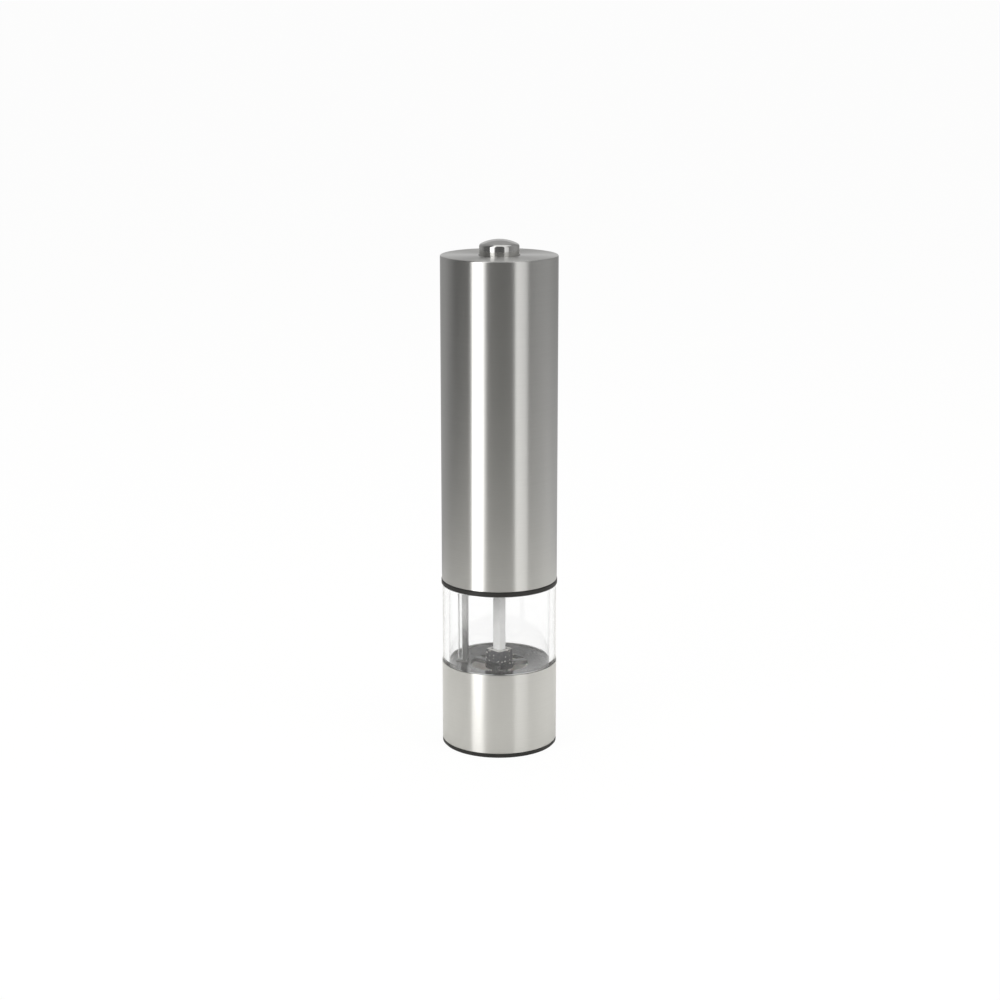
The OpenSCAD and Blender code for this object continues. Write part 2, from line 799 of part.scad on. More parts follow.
module plain_bushes() {
    color("peru") {
        translate([0, 0, bulk_z]) ring(out_boss_r + run + bush_t, out_boss_r + run, bulkhead_t);
        for (z = [motor_z - motor_boss_h + motor_t, motor_top + cap_t - motor_bush_l])
            translate([0, 0, z]) ring(motor_bush_r, motor_shaft_d / 2 + run, motor_bush_l);
    }
}

// Gearbox
module gearbox_ring() {
    color("whitesmoke") translate([0, 0, bulk_top]) difference() {
        union() {
            cylinder(r = gearbox_r, h = motor_plate_z - bulk_top);
            around(ear_n, ear_pcr, ear_turn) cylinder(r = ear_r, h = motor_plate_z - bulk_top - edge);
        }
        translate([0, 0, gearbox_floor_t]) linear_extrude(motor_plate_z - bulk_top)
            polygon(gear_outline(ring_n, ring_tip_r, ring_root_r, -tooth_thin));
        translate([0, 0, -over]) cylinder(r = out_boss_r + ease, h = gearbox_floor_t + 2 * over);
        around(ear_n, ear_pcr, ear_turn) translate([0, 0, -over])
            cylinder(r = screw_r + fit, h = motor_plate_z - bulk_top + 2 * over);
    }
}

module gearbox_screws() {
    length = motor_z - bulk_z;
    color("silver") around(ear_n, ear_pcr, ear_turn) translate([0, 0, motor_z + screw_head_h])
        mirror([0, 0, 1]) screw(length);
}

module motor_plate() {
    color("silver") translate([0, 0, motor_plate_z]) difference() {
        union() {
            cylinder(r = gearbox_r, h = motor_plate_t);
            around(ear_n, ear_pcr, ear_turn) cylinder(r = ear_r, h = motor_plate_t);
        }
        translate([0, 0, -over]) cylinder(r = motor_boss_r + fit, h = motor_plate_t + 2 * over);
        around(ear_n, ear_pcr, ear_turn) translate([0, 0, -over])
            cylinder(r = screw_r + fit, h = motor_plate_t + 2 * over);
        around(2, motor_screw_pcr, 0) {
            translate([0, 0, -over]) cylinder(r = screw_head_r + fit, h = over + screw_head_h);
            translate([0, 0, -over]) cylinder(r = screw_r + fit, h = motor_plate_t + 2 * over);
        }
    }
}

// Carrier plate with its planet pins
module carrier(pins_h) {
    cylinder(r = carrier_r, h = carrier_t);
    around(3, orbit_r, 0) cylinder(r = pin_r, h = carrier_t + gear_gap + pins_h);
}

module carrier_1() {
    sun_l = planet_h + gear_gap - pin_gap;
    color("ivory") translate([0, 0, carrier_1_z]) {
        carrier(planet_h);
        translate([0, 0, -sun_l]) gear(sun_n, sun_l);
    }
}

module carrier_2() {
    color("silver") difference() {
        union() {
            translate([0, 0, carrier_2_z]) carrier(planet_h);
            translate([0, 0, out_boss_z]) cylinder(r = out_boss_r, h = carrier_2_z - out_boss_z);
        }
        translate([0, 0, out_boss_z - over])
            square_bar(shaft_w + 2 * shaft_slip, socket_top - out_boss_z + over);
    }
}

module planet(k, z) {
    color("ivory") rotate(k * 120) translate([orbit_r, 0, z]) difference() {
        gear(planet_n, planet_h);
        translate([0, 0, -over]) cylinder(r = pin_r + run, h = planet_h + 2 * over);
    }
}

module planet_1a() planet(0, planet_1_z);
module planet_1b() planet(1, planet_1_z);
module planet_1c() planet(2, planet_1_z);
module planet_2a() planet(0, planet_2_z);
module planet_2b() planet(1, planet_2_z);
module planet_2c() planet(2, planet_2_z);

// Motor
module motor_can() {
    color("lightgray") difference() {
        union() {
            translate([0, 0, motor_z]) cylinder(r = motor_r, h = motor_l);
            translate([0, 0, motor_z - motor_boss_h]) cylinder(r = motor_boss_r, h = motor_boss_h);
        }
        translate([0, 0, motor_z + motor_t]) cylinder(r = motor_r - motor_t, h = motor_l);
        translate([0, 0, motor_z - motor_boss_h - over])
            cylinder(r = motor_hole_r, h = motor_boss_h + motor_t + 2 * over);
        translate([0, 0, motor_z - motor_boss_h + motor_t])
            cylinder(r = motor_bush_r + fit, h = motor_boss_h + motor_t);
        around(2, motor_screw_pcr, 0) translate([0, 0, motor_z - over])
            cylinder(r = screw_r + fit, h = motor_t + 2 * over);
        around(2, vent_r, 90) translate([-vent_w / 2, -vent_w / 2, motor_z - over])
            cube([vent_w, vent_w, motor_t + 2 * over]);
    }
}

module motor_magnets() {
    color("dimgray") translate([0, 0, armature_z - armature_gap]) intersection() {
        ring(motor_r - motor_t - fit, motor_r - motor_t - magnet_t, armature_h + 2 * armature_gap);
        for (s = [0, 180]) rotate(s) linear_extrude(armature_h + 2 * armature_gap) polygon([
            [0, 0], motor_d * [cos(magnet_half_angle), -sin(magnet_half_angle)], [motor_d, 0],
            motor_d * [cos(magnet_half_angle), sin(magnet_half_angle)]
        ]);
    }
}

module motor_end_cap() {
    color("black") difference() {
        union() {
            translate([0, 0, motor_top - cap_boss_h]) cylinder(r = motor_r - motor_t - fit, h = cap_boss_h);
            translate([0, 0, motor_top]) cylinder(r = motor_r, h = cap_t);
            translate([0, 0, motor_top + cap_t]) cylinder(r = cap_boss_r, h = cap_boss_h);
        }
        translate([0, 0, motor_top - motor_bush_l + cap_t])
            cylinder(r = motor_bush_r + fit, h = motor_bush_l + cap_boss_h + over);
        translate([0, 0, motor_top - cap_boss_h - over]) cylinder(r = motor_hole_r, h = cap_boss_h + over);
        around(2, terminal_r, 0)
            translate([-terminal_t / 2 - fit, -terminal_w / 2 - fit, motor_top - cap_boss_h - over])
            cube([terminal_t + 2 * fit, terminal_w + 2 * fit, cap_boss_h + cap_t + 2 * over]);
    }
}

module motor_shaft() {
    top = motor_top + cap_t;
    color("silver") translate([0, 0, planet_1_z + seam])
        cylinder(r = motor_shaft_d / 2, h = top - planet_1_z - seam);
}

// Armature of five poles, each a neck with a curved shoe
module armature_core() {
    color("slategray") translate([0, 0, armature_z]) difference() {
        union() {
            cylinder(r = core_hub_r, h = armature_h);
            around(pole_n, core_hub_r - edge, 0) translate([0, -pole_w / 2, 0])
                cube([armature_r - pole_shoe_t - core_hub_r + 2 * edge, pole_w, armature_h]);
            difference() {
                ring(armature_r, armature_r - pole_shoe_t, armature_h);
                around(pole_n, 0, 180 / pole_n) translate([0, -pole_slot / 2, -over])
                    cube([armature_r + over, pole_slot, armature_h + 2 * over]);
            }
        }
        translate([0, 0, -over]) cylinder(r = motor_shaft_d / 2 + fit, h = armature_h + 2 * over);
    }
}

// Five coils, each a loop round one pole's neck
module armature_windings() {
    inner = core_hub_r + winding_w;
    outer = armature_r - pole_shoe_t - winding_w / 2;
    half_w = pole_w / 2 + winding_w;
    color("chocolate") translate([0, 0, armature_z]) difference() {
        around(pole_n, inner, 0) translate([0, -half_w, -winding_h])
            cube([outer - inner, 2 * half_w, armature_h + 2 * winding_h]);
        around(pole_n, 0, 0) translate([0, -pole_w / 2 - fit, -fit])
            cube([armature_r, pole_w + 2 * fit, armature_h + 2 * fit]);
    }
}

module commutator() {
    z = armature_z + armature_h + winding_h + edge;
    color("chocolate") translate([0, 0, z]) difference() {
        ring(commutator_r, motor_shaft_d / 2 + fit, commutator_h);
        around(pole_n, commutator_r - commutator_slot, 0) translate([0, -commutator_slot / 2, -over])
            cube([over, commutator_slot, commutator_h + 2 * over]);
    }
}

module motor_brushes() {
    z = armature_z + armature_h + winding_h + edge + (commutator_h - brush_h) / 2;
    color("black") around(2, commutator_r + seam, 0) translate([0, -brush_w / 2, z])
        cube([terminal_r - commutator_r - seam - terminal_t / 2 - fit, brush_w, brush_h]);
}

module motor_terminals() {
    z = armature_z + armature_h + winding_h + edge;
    color("goldenrod") around(2, terminal_r, 0) translate([-terminal_t / 2, -terminal_w / 2, z])
        cube([terminal_t, terminal_w, motor_top + cap_t + terminal_h - z]);
}

module motor_pinion() {
    color("goldenrod") translate([0, 0, planet_1_z + seam]) difference() {
        gear(sun_n, planet_h - seam);
        translate([0, 0, -over]) cylinder(r = motor_shaft_d / 2 + fit, h = planet_h + 2 * over);
    }
}

// Housing round the gearbox and motor, with bosses for the tray and ribs that hold the motor
module motor_housing() {
    h = tray_z - bulk_top;
    rib_z = motor_z + screw_head_h + over;
    color("dimgray") translate([0, 0, bulk_top]) difference() {
        union() {
            ring(housing_r, housing_ri, h);
            translate([0, 0, rib_z - bulk_top]) around(housing_rib_n, motor_r + fit, housing_rib_turn)
                translate([0, -housing_rib_t / 2, 0])
                cube([housing_ri - motor_r - fit + edge, housing_rib_t, motor_top - rib_z]);
            around(4, housing_boss_pcr, housing_boss_turn) translate([0, 0, h - housing_boss_h])
                cylinder(r = housing_boss_r, h = housing_boss_h);
        }
        around(4, housing_boss_pcr, housing_boss_turn) translate([0, 0, h - housing_boss_h / 2])
            cylinder(r = screw_r + fit, h = housing_boss_h);
        for (s = [-1, 1]) translate([0, s * housing_r, (rib_z + motor_top) / 2 - bulk_top]) rotate([90, 0, 0])
            translate([-housing_slot_w / 2, -housing_slot_h / 2, -housing_t - over])
            cube([housing_slot_w, housing_slot_h, 2 * housing_t + 2 * over]);
    }
}

module unit_screws() {
    color("silver") {
        around(2, motor_screw_pcr, 0) translate([0, 0, motor_plate_z]) screw(motor_screw_l);
        around(4, housing_boss_pcr, housing_boss_turn) translate([0, 0, bay_z]) mirror([0, 0, 1])
            screw(motor_screw_l);
    }
}

// Battery tray: two end plates, a middle post and four struts between the cells
module battery_tray() {
    color("dimgray") difference() {
        union() {
            translate([0, 0, tray_z]) cylinder(r = housing_r, h = tray_t);
            translate([0, 0, tray_top - tray_t]) cylinder(r = housing_r, h = tray_t);
            translate([0, 0, tray_z]) cylinder(r = post_r, h = tray_top - tray_z);
            around(4, housing_r - strut_t, 0) translate([0, -strut_w / 2, tray_z])
                intersection() {
                    cube([strut_t, strut_w, tray_top - tray_z]);
                    translate([strut_t - housing_r, strut_w / 2, 0])
                        cylinder(r = housing_r, h = tray_top - tray_z);
                }
        }
        around(4, housing_boss_pcr, housing_boss_turn) {
            translate([0, 0, tray_z - over]) cylinder(r = screw_r + fit, h = tray_t + 2 * over);
            translate([0, 0, bay_z - screw_head_h]) cylinder(r = screw_head_r + fit, h = screw_head_h + over);
        }
        around(2, housing_boss_pcr, 0) for (z = [tray_z, tray_top - tray_t])
            translate([-tray_notch_w / 2, strut_w / 2 + edge, z - over])
            cube([tray_notch_w / 2, tray_notch_w / 2, tray_t + 2 * over]);
    }
}

// Cell stood with its nub up
module cell() {
    rotate_extrude() polygon([
        [0, 0], [cell_r - cell_edge, 0], [cell_r, cell_edge], [cell_r, cell_l - nub_h - cell_edge],
        [cell_r - cell_edge, cell_l - nub_h], [nub_r, cell_l - nub_h], [nub_r, cell_l], [0, cell_l]
    ]);
}

// Places its children at the four cells, every other one upside down
module at_cells() {
    low = bay_z + plate_t;
    high = bay_z + bay_h - plate_t;
    for (i = [0:3]) rotate(i * 90) translate([cell_pitch / 2, cell_pitch / 2, i % 2 == 0 ? low : high])
        mirror([0, 0, i % 2]) children();
}

module battery_cells() {
    color("seagreen") at_cells() translate([0, 0, cell_spring_h + cell_play]) cell();
}

module battery_springs() {
    color("silver") at_cells()
        coil(cell_spring_r0, cell_spring_r1, cell_spring_h, cell_spring_wire, cell_spring_turns,
            "battery_springs");
}

module battery_contacts() {
    long = cell_pitch + contact_w;
    start = cell_pitch / 2 - contact_w / 2;
    top_z = bay_z + bay_h - plate_t;
    color("silver") {
        for (s = [0, 1]) mirror([0, s, 0]) translate([-long / 2, start, bay_z])
            cube([long, contact_w, plate_t]);
        translate([start, -long / 2, top_z]) cube([contact_w, long, plate_t]);
        for (s = [0, 1]) mirror([0, s, 0]) translate([-long / 2, start, top_z])
            cube([contact_w, contact_w, plate_t]);
    }
}

// Switch on top of the tray
module switch_base() {
    deck = tray_top + switch_deck_h;
    color("dimgray") difference() {
        union() {
            translate([0, 0, tray_top]) cylinder(r = switch_r, h = switch_deck_h);
            translate([-leaf_arm - leaf_pad, -leaf_w / 2, deck])
                cube([leaf_pad, leaf_w, leaf_z - deck]);
            translate([-leaf_arm - leaf_pad / 2, -leaf_w / 2, deck - switch_deck_h])
                cube([leaf_pad / 2, leaf_w, switch_deck_h]);
            translate([leaf_reach - leaf_pad / 2, -leaf_w / 2, deck])
                cube([leaf_pad, leaf_w, leaf_z - leaf_drop - plate_t - dimple_r - deck]);
        }
        translate([-leaf_arm - leaf_pad / 2, 0, leaf_z - rivet_l])
            cylinder(r = rivet_r + fit, h = rivet_l + over);
    }
}

module switch_contact() {
    top = leaf_z - leaf_drop - dimple_r;
    color("goldenrod") {
        translate([leaf_reach - leaf_pad / 2, -leaf_w / 2, top - plate_t]) cube([leaf_pad, leaf_w, plate_t]);
        translate([leaf_reach, 0, top]) cylinder(r = dimple_r, h = dimple_r / 2);
    }
}

module switch_leaf() {
    color("goldenrod") {
        translate([-leaf_arm, -leaf_w / 2, leaf_z + fit])
            cube([leaf_arm + leaf_reach + leaf_pad / 4, leaf_w, leaf_t - fit]);
        translate([leaf_reach, 0, leaf_z - dimple_r / 4]) cylinder(r = dimple_r, h = leaf_t);
    }
}

// Wires of the drive unit: from the motor's tabs up to the switch, and down to the lamp's pins
module unit_wires() {
    tab_z = motor_top + cap_t + terminal_h / 2;
    tab_r = terminal_r + terminal_t / 2 + wire_r + ease;
    lead_x = housing_boss_pcr - tray_notch_w / 4;
    lead_y = strut_w / 2 + edge + tray_notch_w / 4;
    end_y = leaf_w / 2 + wire_r + fit;
    end_z = tray_top + switch_deck_h + wire_r + fit;
    ends = [leaf_reach, leaf_arm + leaf_pad / 2];
    low_z = motor_top + cap_t + wire_r + fit;
    color("firebrick") {
        for (s = [0, 1]) rotate(s * 180) wire_run([
            [tab_r, 0, tab_z], [lead_x, lead_y, tab_z + terminal_h / 2], [lead_x, lead_y, end_z],
            [ends[s], end_y, end_z]
        ], wire_r);
        rotate(lamp_a) wire_run([
            [pin_place_r, wire_pitch, bulk_top], [pin_place_r, wire_pitch, low_z], [tab_r, wire_r, low_z]
        ], wire_r);
        rotate(lamp_a) wire_run([
            [pin_place_r, -wire_pitch, bulk_top], [pin_place_r, -wire_pitch, low_z],
            [0, -cap_boss_r - 2 * wire_d, low_z], [-terminal_r, -terminal_w / 2 - wire_d - 2 * ease, low_z]
        ], wire_r);
    }
}

module lamp_pins() {
    z = conduit_top + contact_t + seam;
    color("goldenrod") rotate(lamp_a) for (s = [-1, 1]) translate([pin_place_r, s * wire_pitch, z])
        cylinder(r = wire_r + fit, h = bulk_top - z);
}

// Cover, button and guide
module cover_tube() {
    step = 15;
    out_c = tube_r - cover_round;
    in_r = cover_round - tube_t;
    mid_z = cover_h - cover_round;
    arc = [for (a = [0:step:90]) [out_c + cover_round * cos(a), mid_z + cover_round * sin(a)]];
    inner_arc = [for (a = [90:-step:0]) [out_c + in_r * cos(a), mid_z + in_r * sin(a)]];
    color("silver") translate([0, 0, cover_z]) rotate_extrude() polygon(concat(
        [[tube_ri, 0], [tube_r - sheet_edge, 0], [tube_r, sheet_edge]], arc,
        [[button_r + hole_gap, cover_h], [button_r + hole_gap, cover_h - tube_t]], inner_arc
    ));
}

module button_guide() {
    color("dimgray") difference() {
        union() {
            translate([0, 0, guide_z]) cylinder(r = guide_ri + guide_t, h = guide_h);
            translate([0, 0, plate_under - guide_flange_t]) cylinder(r = guide_flange_r, h = guide_flange_t);
            for (i = [0:gusset_n - 1]) rotate(i * 360 / gusset_n) translate([0, gusset_t / 2, 0])
                rotate([90, 0, 0]) linear_extrude(gusset_t) polygon([
                    [guide_ri, guide_z + edge], [guide_ri + guide_t, guide_z + edge],
                    [guide_flange_r - edge, plate_under - guide_flange_t],
                    [guide_ri, plate_under - guide_flange_t]
                ]);
        }
        translate([0, 0, guide_z + guide_floor_t]) cylinder(r = guide_ri, h = guide_h);
        translate([0, 0, guide_z - over]) cylinder(r = stem_r + slip, h = guide_floor_t + 2 * over);
    }
}

// Cap with a domed top, and a flange that the cover's plate holds back
module push_button() {
    straight = button_top - button_dome_h - button_chamfer;
    crown_h = button_dome_h + button_chamfer;
    flange_z = plate_under - seam - button_flange_t;
    color("silver") difference() {
        union() {
            intersection() {
                translate([0, 0, button_z]) cylinder(r = button_r, h = button_top - button_z);
                translate([0, 0, button_top - dome_sr]) sphere(r = dome_sr);
                union() {
                    translate([0, 0, button_z - over])
                        cylinder(r = button_r + over, h = straight - button_z + over);
                    translate([0, 0, straight]) cylinder(r1 = button_r, r2 = button_r - crown_h, h = crown_h);
                    translate([0, 0, straight]) cylinder(r = button_r - button_chamfer, h = crown_h);
                }
            }
            translate([0, 0, flange_z]) cylinder(r = button_r + button_flange_w, h = button_flange_t);
        }
        intersection() {
            translate([0, 0, button_z - over]) cylinder(r = button_r - button_t,
                h = button_top - button_z - button_t - button_chamfer + over);
            translate([0, 0, button_top - dome_sr]) sphere(r = dome_sr - button_t);
        }
    }
}

module button_stem() {
    head_r = button_r - button_t - fit;
    head_top = cover_top + button_wall_h - button_chamfer - button_t;
    color("dimgray") {
        translate([0, 0, stem_z + tip_r]) sphere(r = tip_r);
        translate([0, 0, stem_z + tip_r]) cylinder(r = tip_r, h = tip_h);
        translate([0, 0, stem_z + tip_h]) cylinder(r = stem_r, h = head_top - stem_z - tip_h);
        translate([0, 0, stem_head_z]) cylinder(r = head_r, h = stem_flange_t);
        for (a = [0, 90]) rotate(a) translate([-head_r + edge, -gusset_t / 2, stem_head_z])
            cube([2 * head_r - 2 * edge, gusset_t, head_top - stem_head_z]);
    }
}

module button_spring() {
    z = guide_z + guide_floor_t;
    color("silver") translate([0, 0, z])
        coil(button_spring_r, button_spring_r, stem_head_z - z, button_wire, button_spring_turns,
            "button_spring");
}

base_sleeve();
foot_ring();
base_core();
pepper_chamber();
grinder_floor();
outer_burr();
burr_retainer();
retainer_screws();
lamp_conduit();
lamp_wires();
lamp_contacts();
lamp();
lamp_holder();
drive_shaft();
feed_hub();
burr_spring();
inner_burr();
thrust_washer();
adjust_knob();
collar();
rim_seal();
cover_seal();
plain_bushes();
gearbox_ring();
gearbox_screws();
motor_plate();
motor_housing();
motor_can();
motor_magnets();
motor_end_cap();
motor_brushes();
motor_terminals();
unit_screws();
battery_tray();
battery_cells();
battery_contacts();
battery_springs();
switch_base();
switch_contact();
unit_wires();
lamp_pins();
switch_leaf();
motor_shaft();
armature_core();
armature_windings();
commutator();
motor_pinion();
carrier_1();
planet_1a();
planet_1b();
planet_1c();
carrier_2();
planet_2a();
planet_2b();
planet_2c();
cover_tube();
button_guide();
push_button();
button_stem();
button_spring();
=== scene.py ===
"""Electric pepper mill: looks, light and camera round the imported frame."""
import math

import bpy
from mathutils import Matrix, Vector


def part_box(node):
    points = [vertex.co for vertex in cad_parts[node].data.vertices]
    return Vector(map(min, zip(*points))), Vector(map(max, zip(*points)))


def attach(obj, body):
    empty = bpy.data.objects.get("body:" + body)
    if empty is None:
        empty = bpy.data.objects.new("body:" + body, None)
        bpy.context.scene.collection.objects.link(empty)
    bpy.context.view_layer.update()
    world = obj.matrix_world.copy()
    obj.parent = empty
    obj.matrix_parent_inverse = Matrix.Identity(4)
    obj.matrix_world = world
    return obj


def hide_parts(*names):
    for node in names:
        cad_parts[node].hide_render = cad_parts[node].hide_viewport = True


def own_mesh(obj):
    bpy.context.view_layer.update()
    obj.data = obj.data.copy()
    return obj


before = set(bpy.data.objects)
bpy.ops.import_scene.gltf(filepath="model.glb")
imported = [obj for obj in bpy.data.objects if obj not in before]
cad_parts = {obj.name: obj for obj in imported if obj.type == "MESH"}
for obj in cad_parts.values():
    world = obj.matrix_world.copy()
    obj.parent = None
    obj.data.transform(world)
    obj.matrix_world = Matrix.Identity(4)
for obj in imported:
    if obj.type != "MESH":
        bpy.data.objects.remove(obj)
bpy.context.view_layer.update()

MM = 0.001
SHEET = 0.6         # thickness of the drawn steel, mm
ROUND_SIDES = 256   # sides of the large turned pieces
CORNER_ON = math.radians(45)


# ---------- handling pieces ----------

def deselect():
    """Leaves object mode with nothing selected."""
    if bpy.context.object and bpy.context.object.mode != "OBJECT":
        bpy.ops.object.mode_set(mode="OBJECT")
    bpy.ops.object.select_all(action="DESELECT")


def pick(piece):
    """Makes one piece the active one, alone."""
    deselect()
    piece.select_set(True)
    bpy.context.view_layer.objects.active = piece


def settle(piece, name, finish, body, stands_for=(), angle=30):
    """Puts a piece's place in its mesh, shades it, gives it its finish and its body."""
    pick(piece)
    bpy.ops.object.transform_apply(location=True, rotation=True, scale=True)
    for modifier in list(piece.modifiers):
        bpy.ops.object.modifier_apply(modifier=modifier.name)
    bpy.ops.object.shade_smooth_by_angle(angle=math.radians(angle))
    piece.name = name
    piece.data.name = name
    piece.data.materials.clear()
    piece.data.materials.append(finish)
    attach(piece, body)
    if stands_for:
        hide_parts(*stands_for)
    return piece


def select_edges(piece, wanted):
    """Selects in edit mode the edges whose two ends satisfy wanted."""
    bpy.ops.mesh.select_mode(type="EDGE")
    bpy.ops.mesh.select_all(action="DESELECT")
    bpy.ops.object.mode_set(mode="OBJECT")
    for edge in piece.data.edges:
        a, b = (piece.data.vertices[i].co for i in edge.vertices)
        edge.select = wanted(a, b)
    bpy.ops.object.mode_set(mode="EDIT")


def select_top(piece, above):
    """Selects in edit mode the flat faces that look up and lie above a height in metres."""
    bpy.ops.object.mode_set(mode="EDIT")
    bpy.ops.mesh.select_mode(type="FACE")
    bpy.ops.mesh.select_all(action="DESELECT")
    bpy.ops.object.mode_set(mode="OBJECT")
    for face in piece.data.polygons:
        face.select = face.normal.z > 0.99 and face.center.z > above
    bpy.ops.object.mode_set(mode="EDIT")


def face_outwards():
    """Turns every face of the piece in edit mode outwards, and leaves edit mode."""
    bpy.ops.mesh.select_all(action="SELECT")
    bpy.ops.mesh.normals_make_consistent(inside=False)
    bpy.ops.object.mode_set(mode="OBJECT")


def joined(first, second):
    """Makes one piece of two."""
    deselect()
    second.select_set(True)
    first.select_set(True)
    bpy.context.view_layer.objects.active = first
    bpy.ops.object.join()
    return first


def held(points, hold=0.25 * MM):
    """Adds a row close to each end of a long run, so that soft shading stays in the roundings."""
    made = [points[0]]
    for (r0, z0), (r1, z1) in zip(points, points[1:]):
        length = math.hypot(r1 - r0, z1 - z0)
        if length > 4 * hold:
            for share in (hold / length, 1 - hold / length):
                made.append((r0 + (r1 - r0) * share, z0 + (z1 - z0) * share))
        made.append((r1, z1))
    return made


def turned(profile, sides=ROUND_SIDES, closed=True):
    """Lathe work: a ring drawn out along a profile of (radius, height) in mm, then bridged to its start
    if it is closed. A profile that starts or ends at radius 0 gets a pole there."""
    deselect()
    points = [(r * MM, z * MM) for r, z in profile]
    pole_first = points[0][0] == 0
    pole_last = points[-1][0] == 0
    if pole_first:
        points = points[1:]
    if pole_last:
        points = points[:-1]
    points = held(points)
    r, z = points[0]
    bpy.ops.mesh.primitive_circle_add(vertices=sides, radius=r, location=(0, 0, z))
    piece = bpy.context.object
    bpy.ops.object.transform_apply(location=True)
    bpy.ops.object.mode_set(mode="EDIT")
    bpy.ops.mesh.select_all(action="SELECT")
    if pole_first:
        first_z = profile[0][1] * MM
        bpy.ops.mesh.extrude_region_move(TRANSFORM_OT_translate={"value": (0, 0, first_z - z)})
        bpy.ops.mesh.merge(type="CENTER")
        select_edges(piece, lambda a, b: abs(a.z - z) < 1e-9 and abs(b.z - z) < 1e-9
                     and a.xy.length > r / 2 and b.xy.length > r / 2)
    for new_r, new_z in points[1:]:
        bpy.ops.mesh.extrude_region_move(TRANSFORM_OT_translate={"value": (0, 0, new_z - z)})
        if new_r != r:
            share = new_r / r
            bpy.ops.transform.resize(value=(share, share, 1), center_override=(0, 0, 0))
        r, z = new_r, new_z
    if pole_last:
        last_z = profile[-1][1] * MM
        bpy.ops.mesh.extrude_region_move(TRANSFORM_OT_translate={"value": (0, 0, last_z - z)})
        bpy.ops.mesh.merge(type="CENTER")
    elif closed and not pole_first:
        bpy.ops.mesh.select_mode(type="EDGE")
        bpy.ops.mesh.select_all(action="DESELECT")
        bpy.ops.mesh.select_non_manifold(extend=False, use_wire=False, use_boundary=True,
                                         use_multi_face=False, use_non_contiguous=False, use_verts=False)
        bpy.ops.mesh.bridge_edge_loops()
    face_outwards()
    return piece


def steps_between(radius, start, end, count):
    """Points that cut a straight wall of a profile into even parts, without its two ends."""
    return [(radius, start + (end - start) * i / count) for i in range(1, count)]


def arc(centre_r, centre_z, radius, start, end, steps):
    """Points of a rounding in a profile, from one angle to another in degrees."""
    made = []
    for i in range(steps + 1):
        a = math.radians(start + (end - start) * i / steps)
        made.append((centre_r + radius * math.cos(a), centre_z + radius * math.sin(a)))
    return made


def sizes(node):
    """Lowest and highest corner of a CAD node, in mm."""
    low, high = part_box(node)
    return [c / MM for c in low], [c / MM for c in high]


# ---------- building finishes ----------

def worked_out(tree, operation, first, second):
    """A math node over two values or sockets."""
    node = tree.nodes.new("ShaderNodeMath")
    node.operation = operation
    for socket, value in zip(node.inputs, (first, second)):
        if isinstance(value, (int, float)):
            socket.default_value = value
        else:
            tree.links.new(value, socket)
    return node.outputs[0]


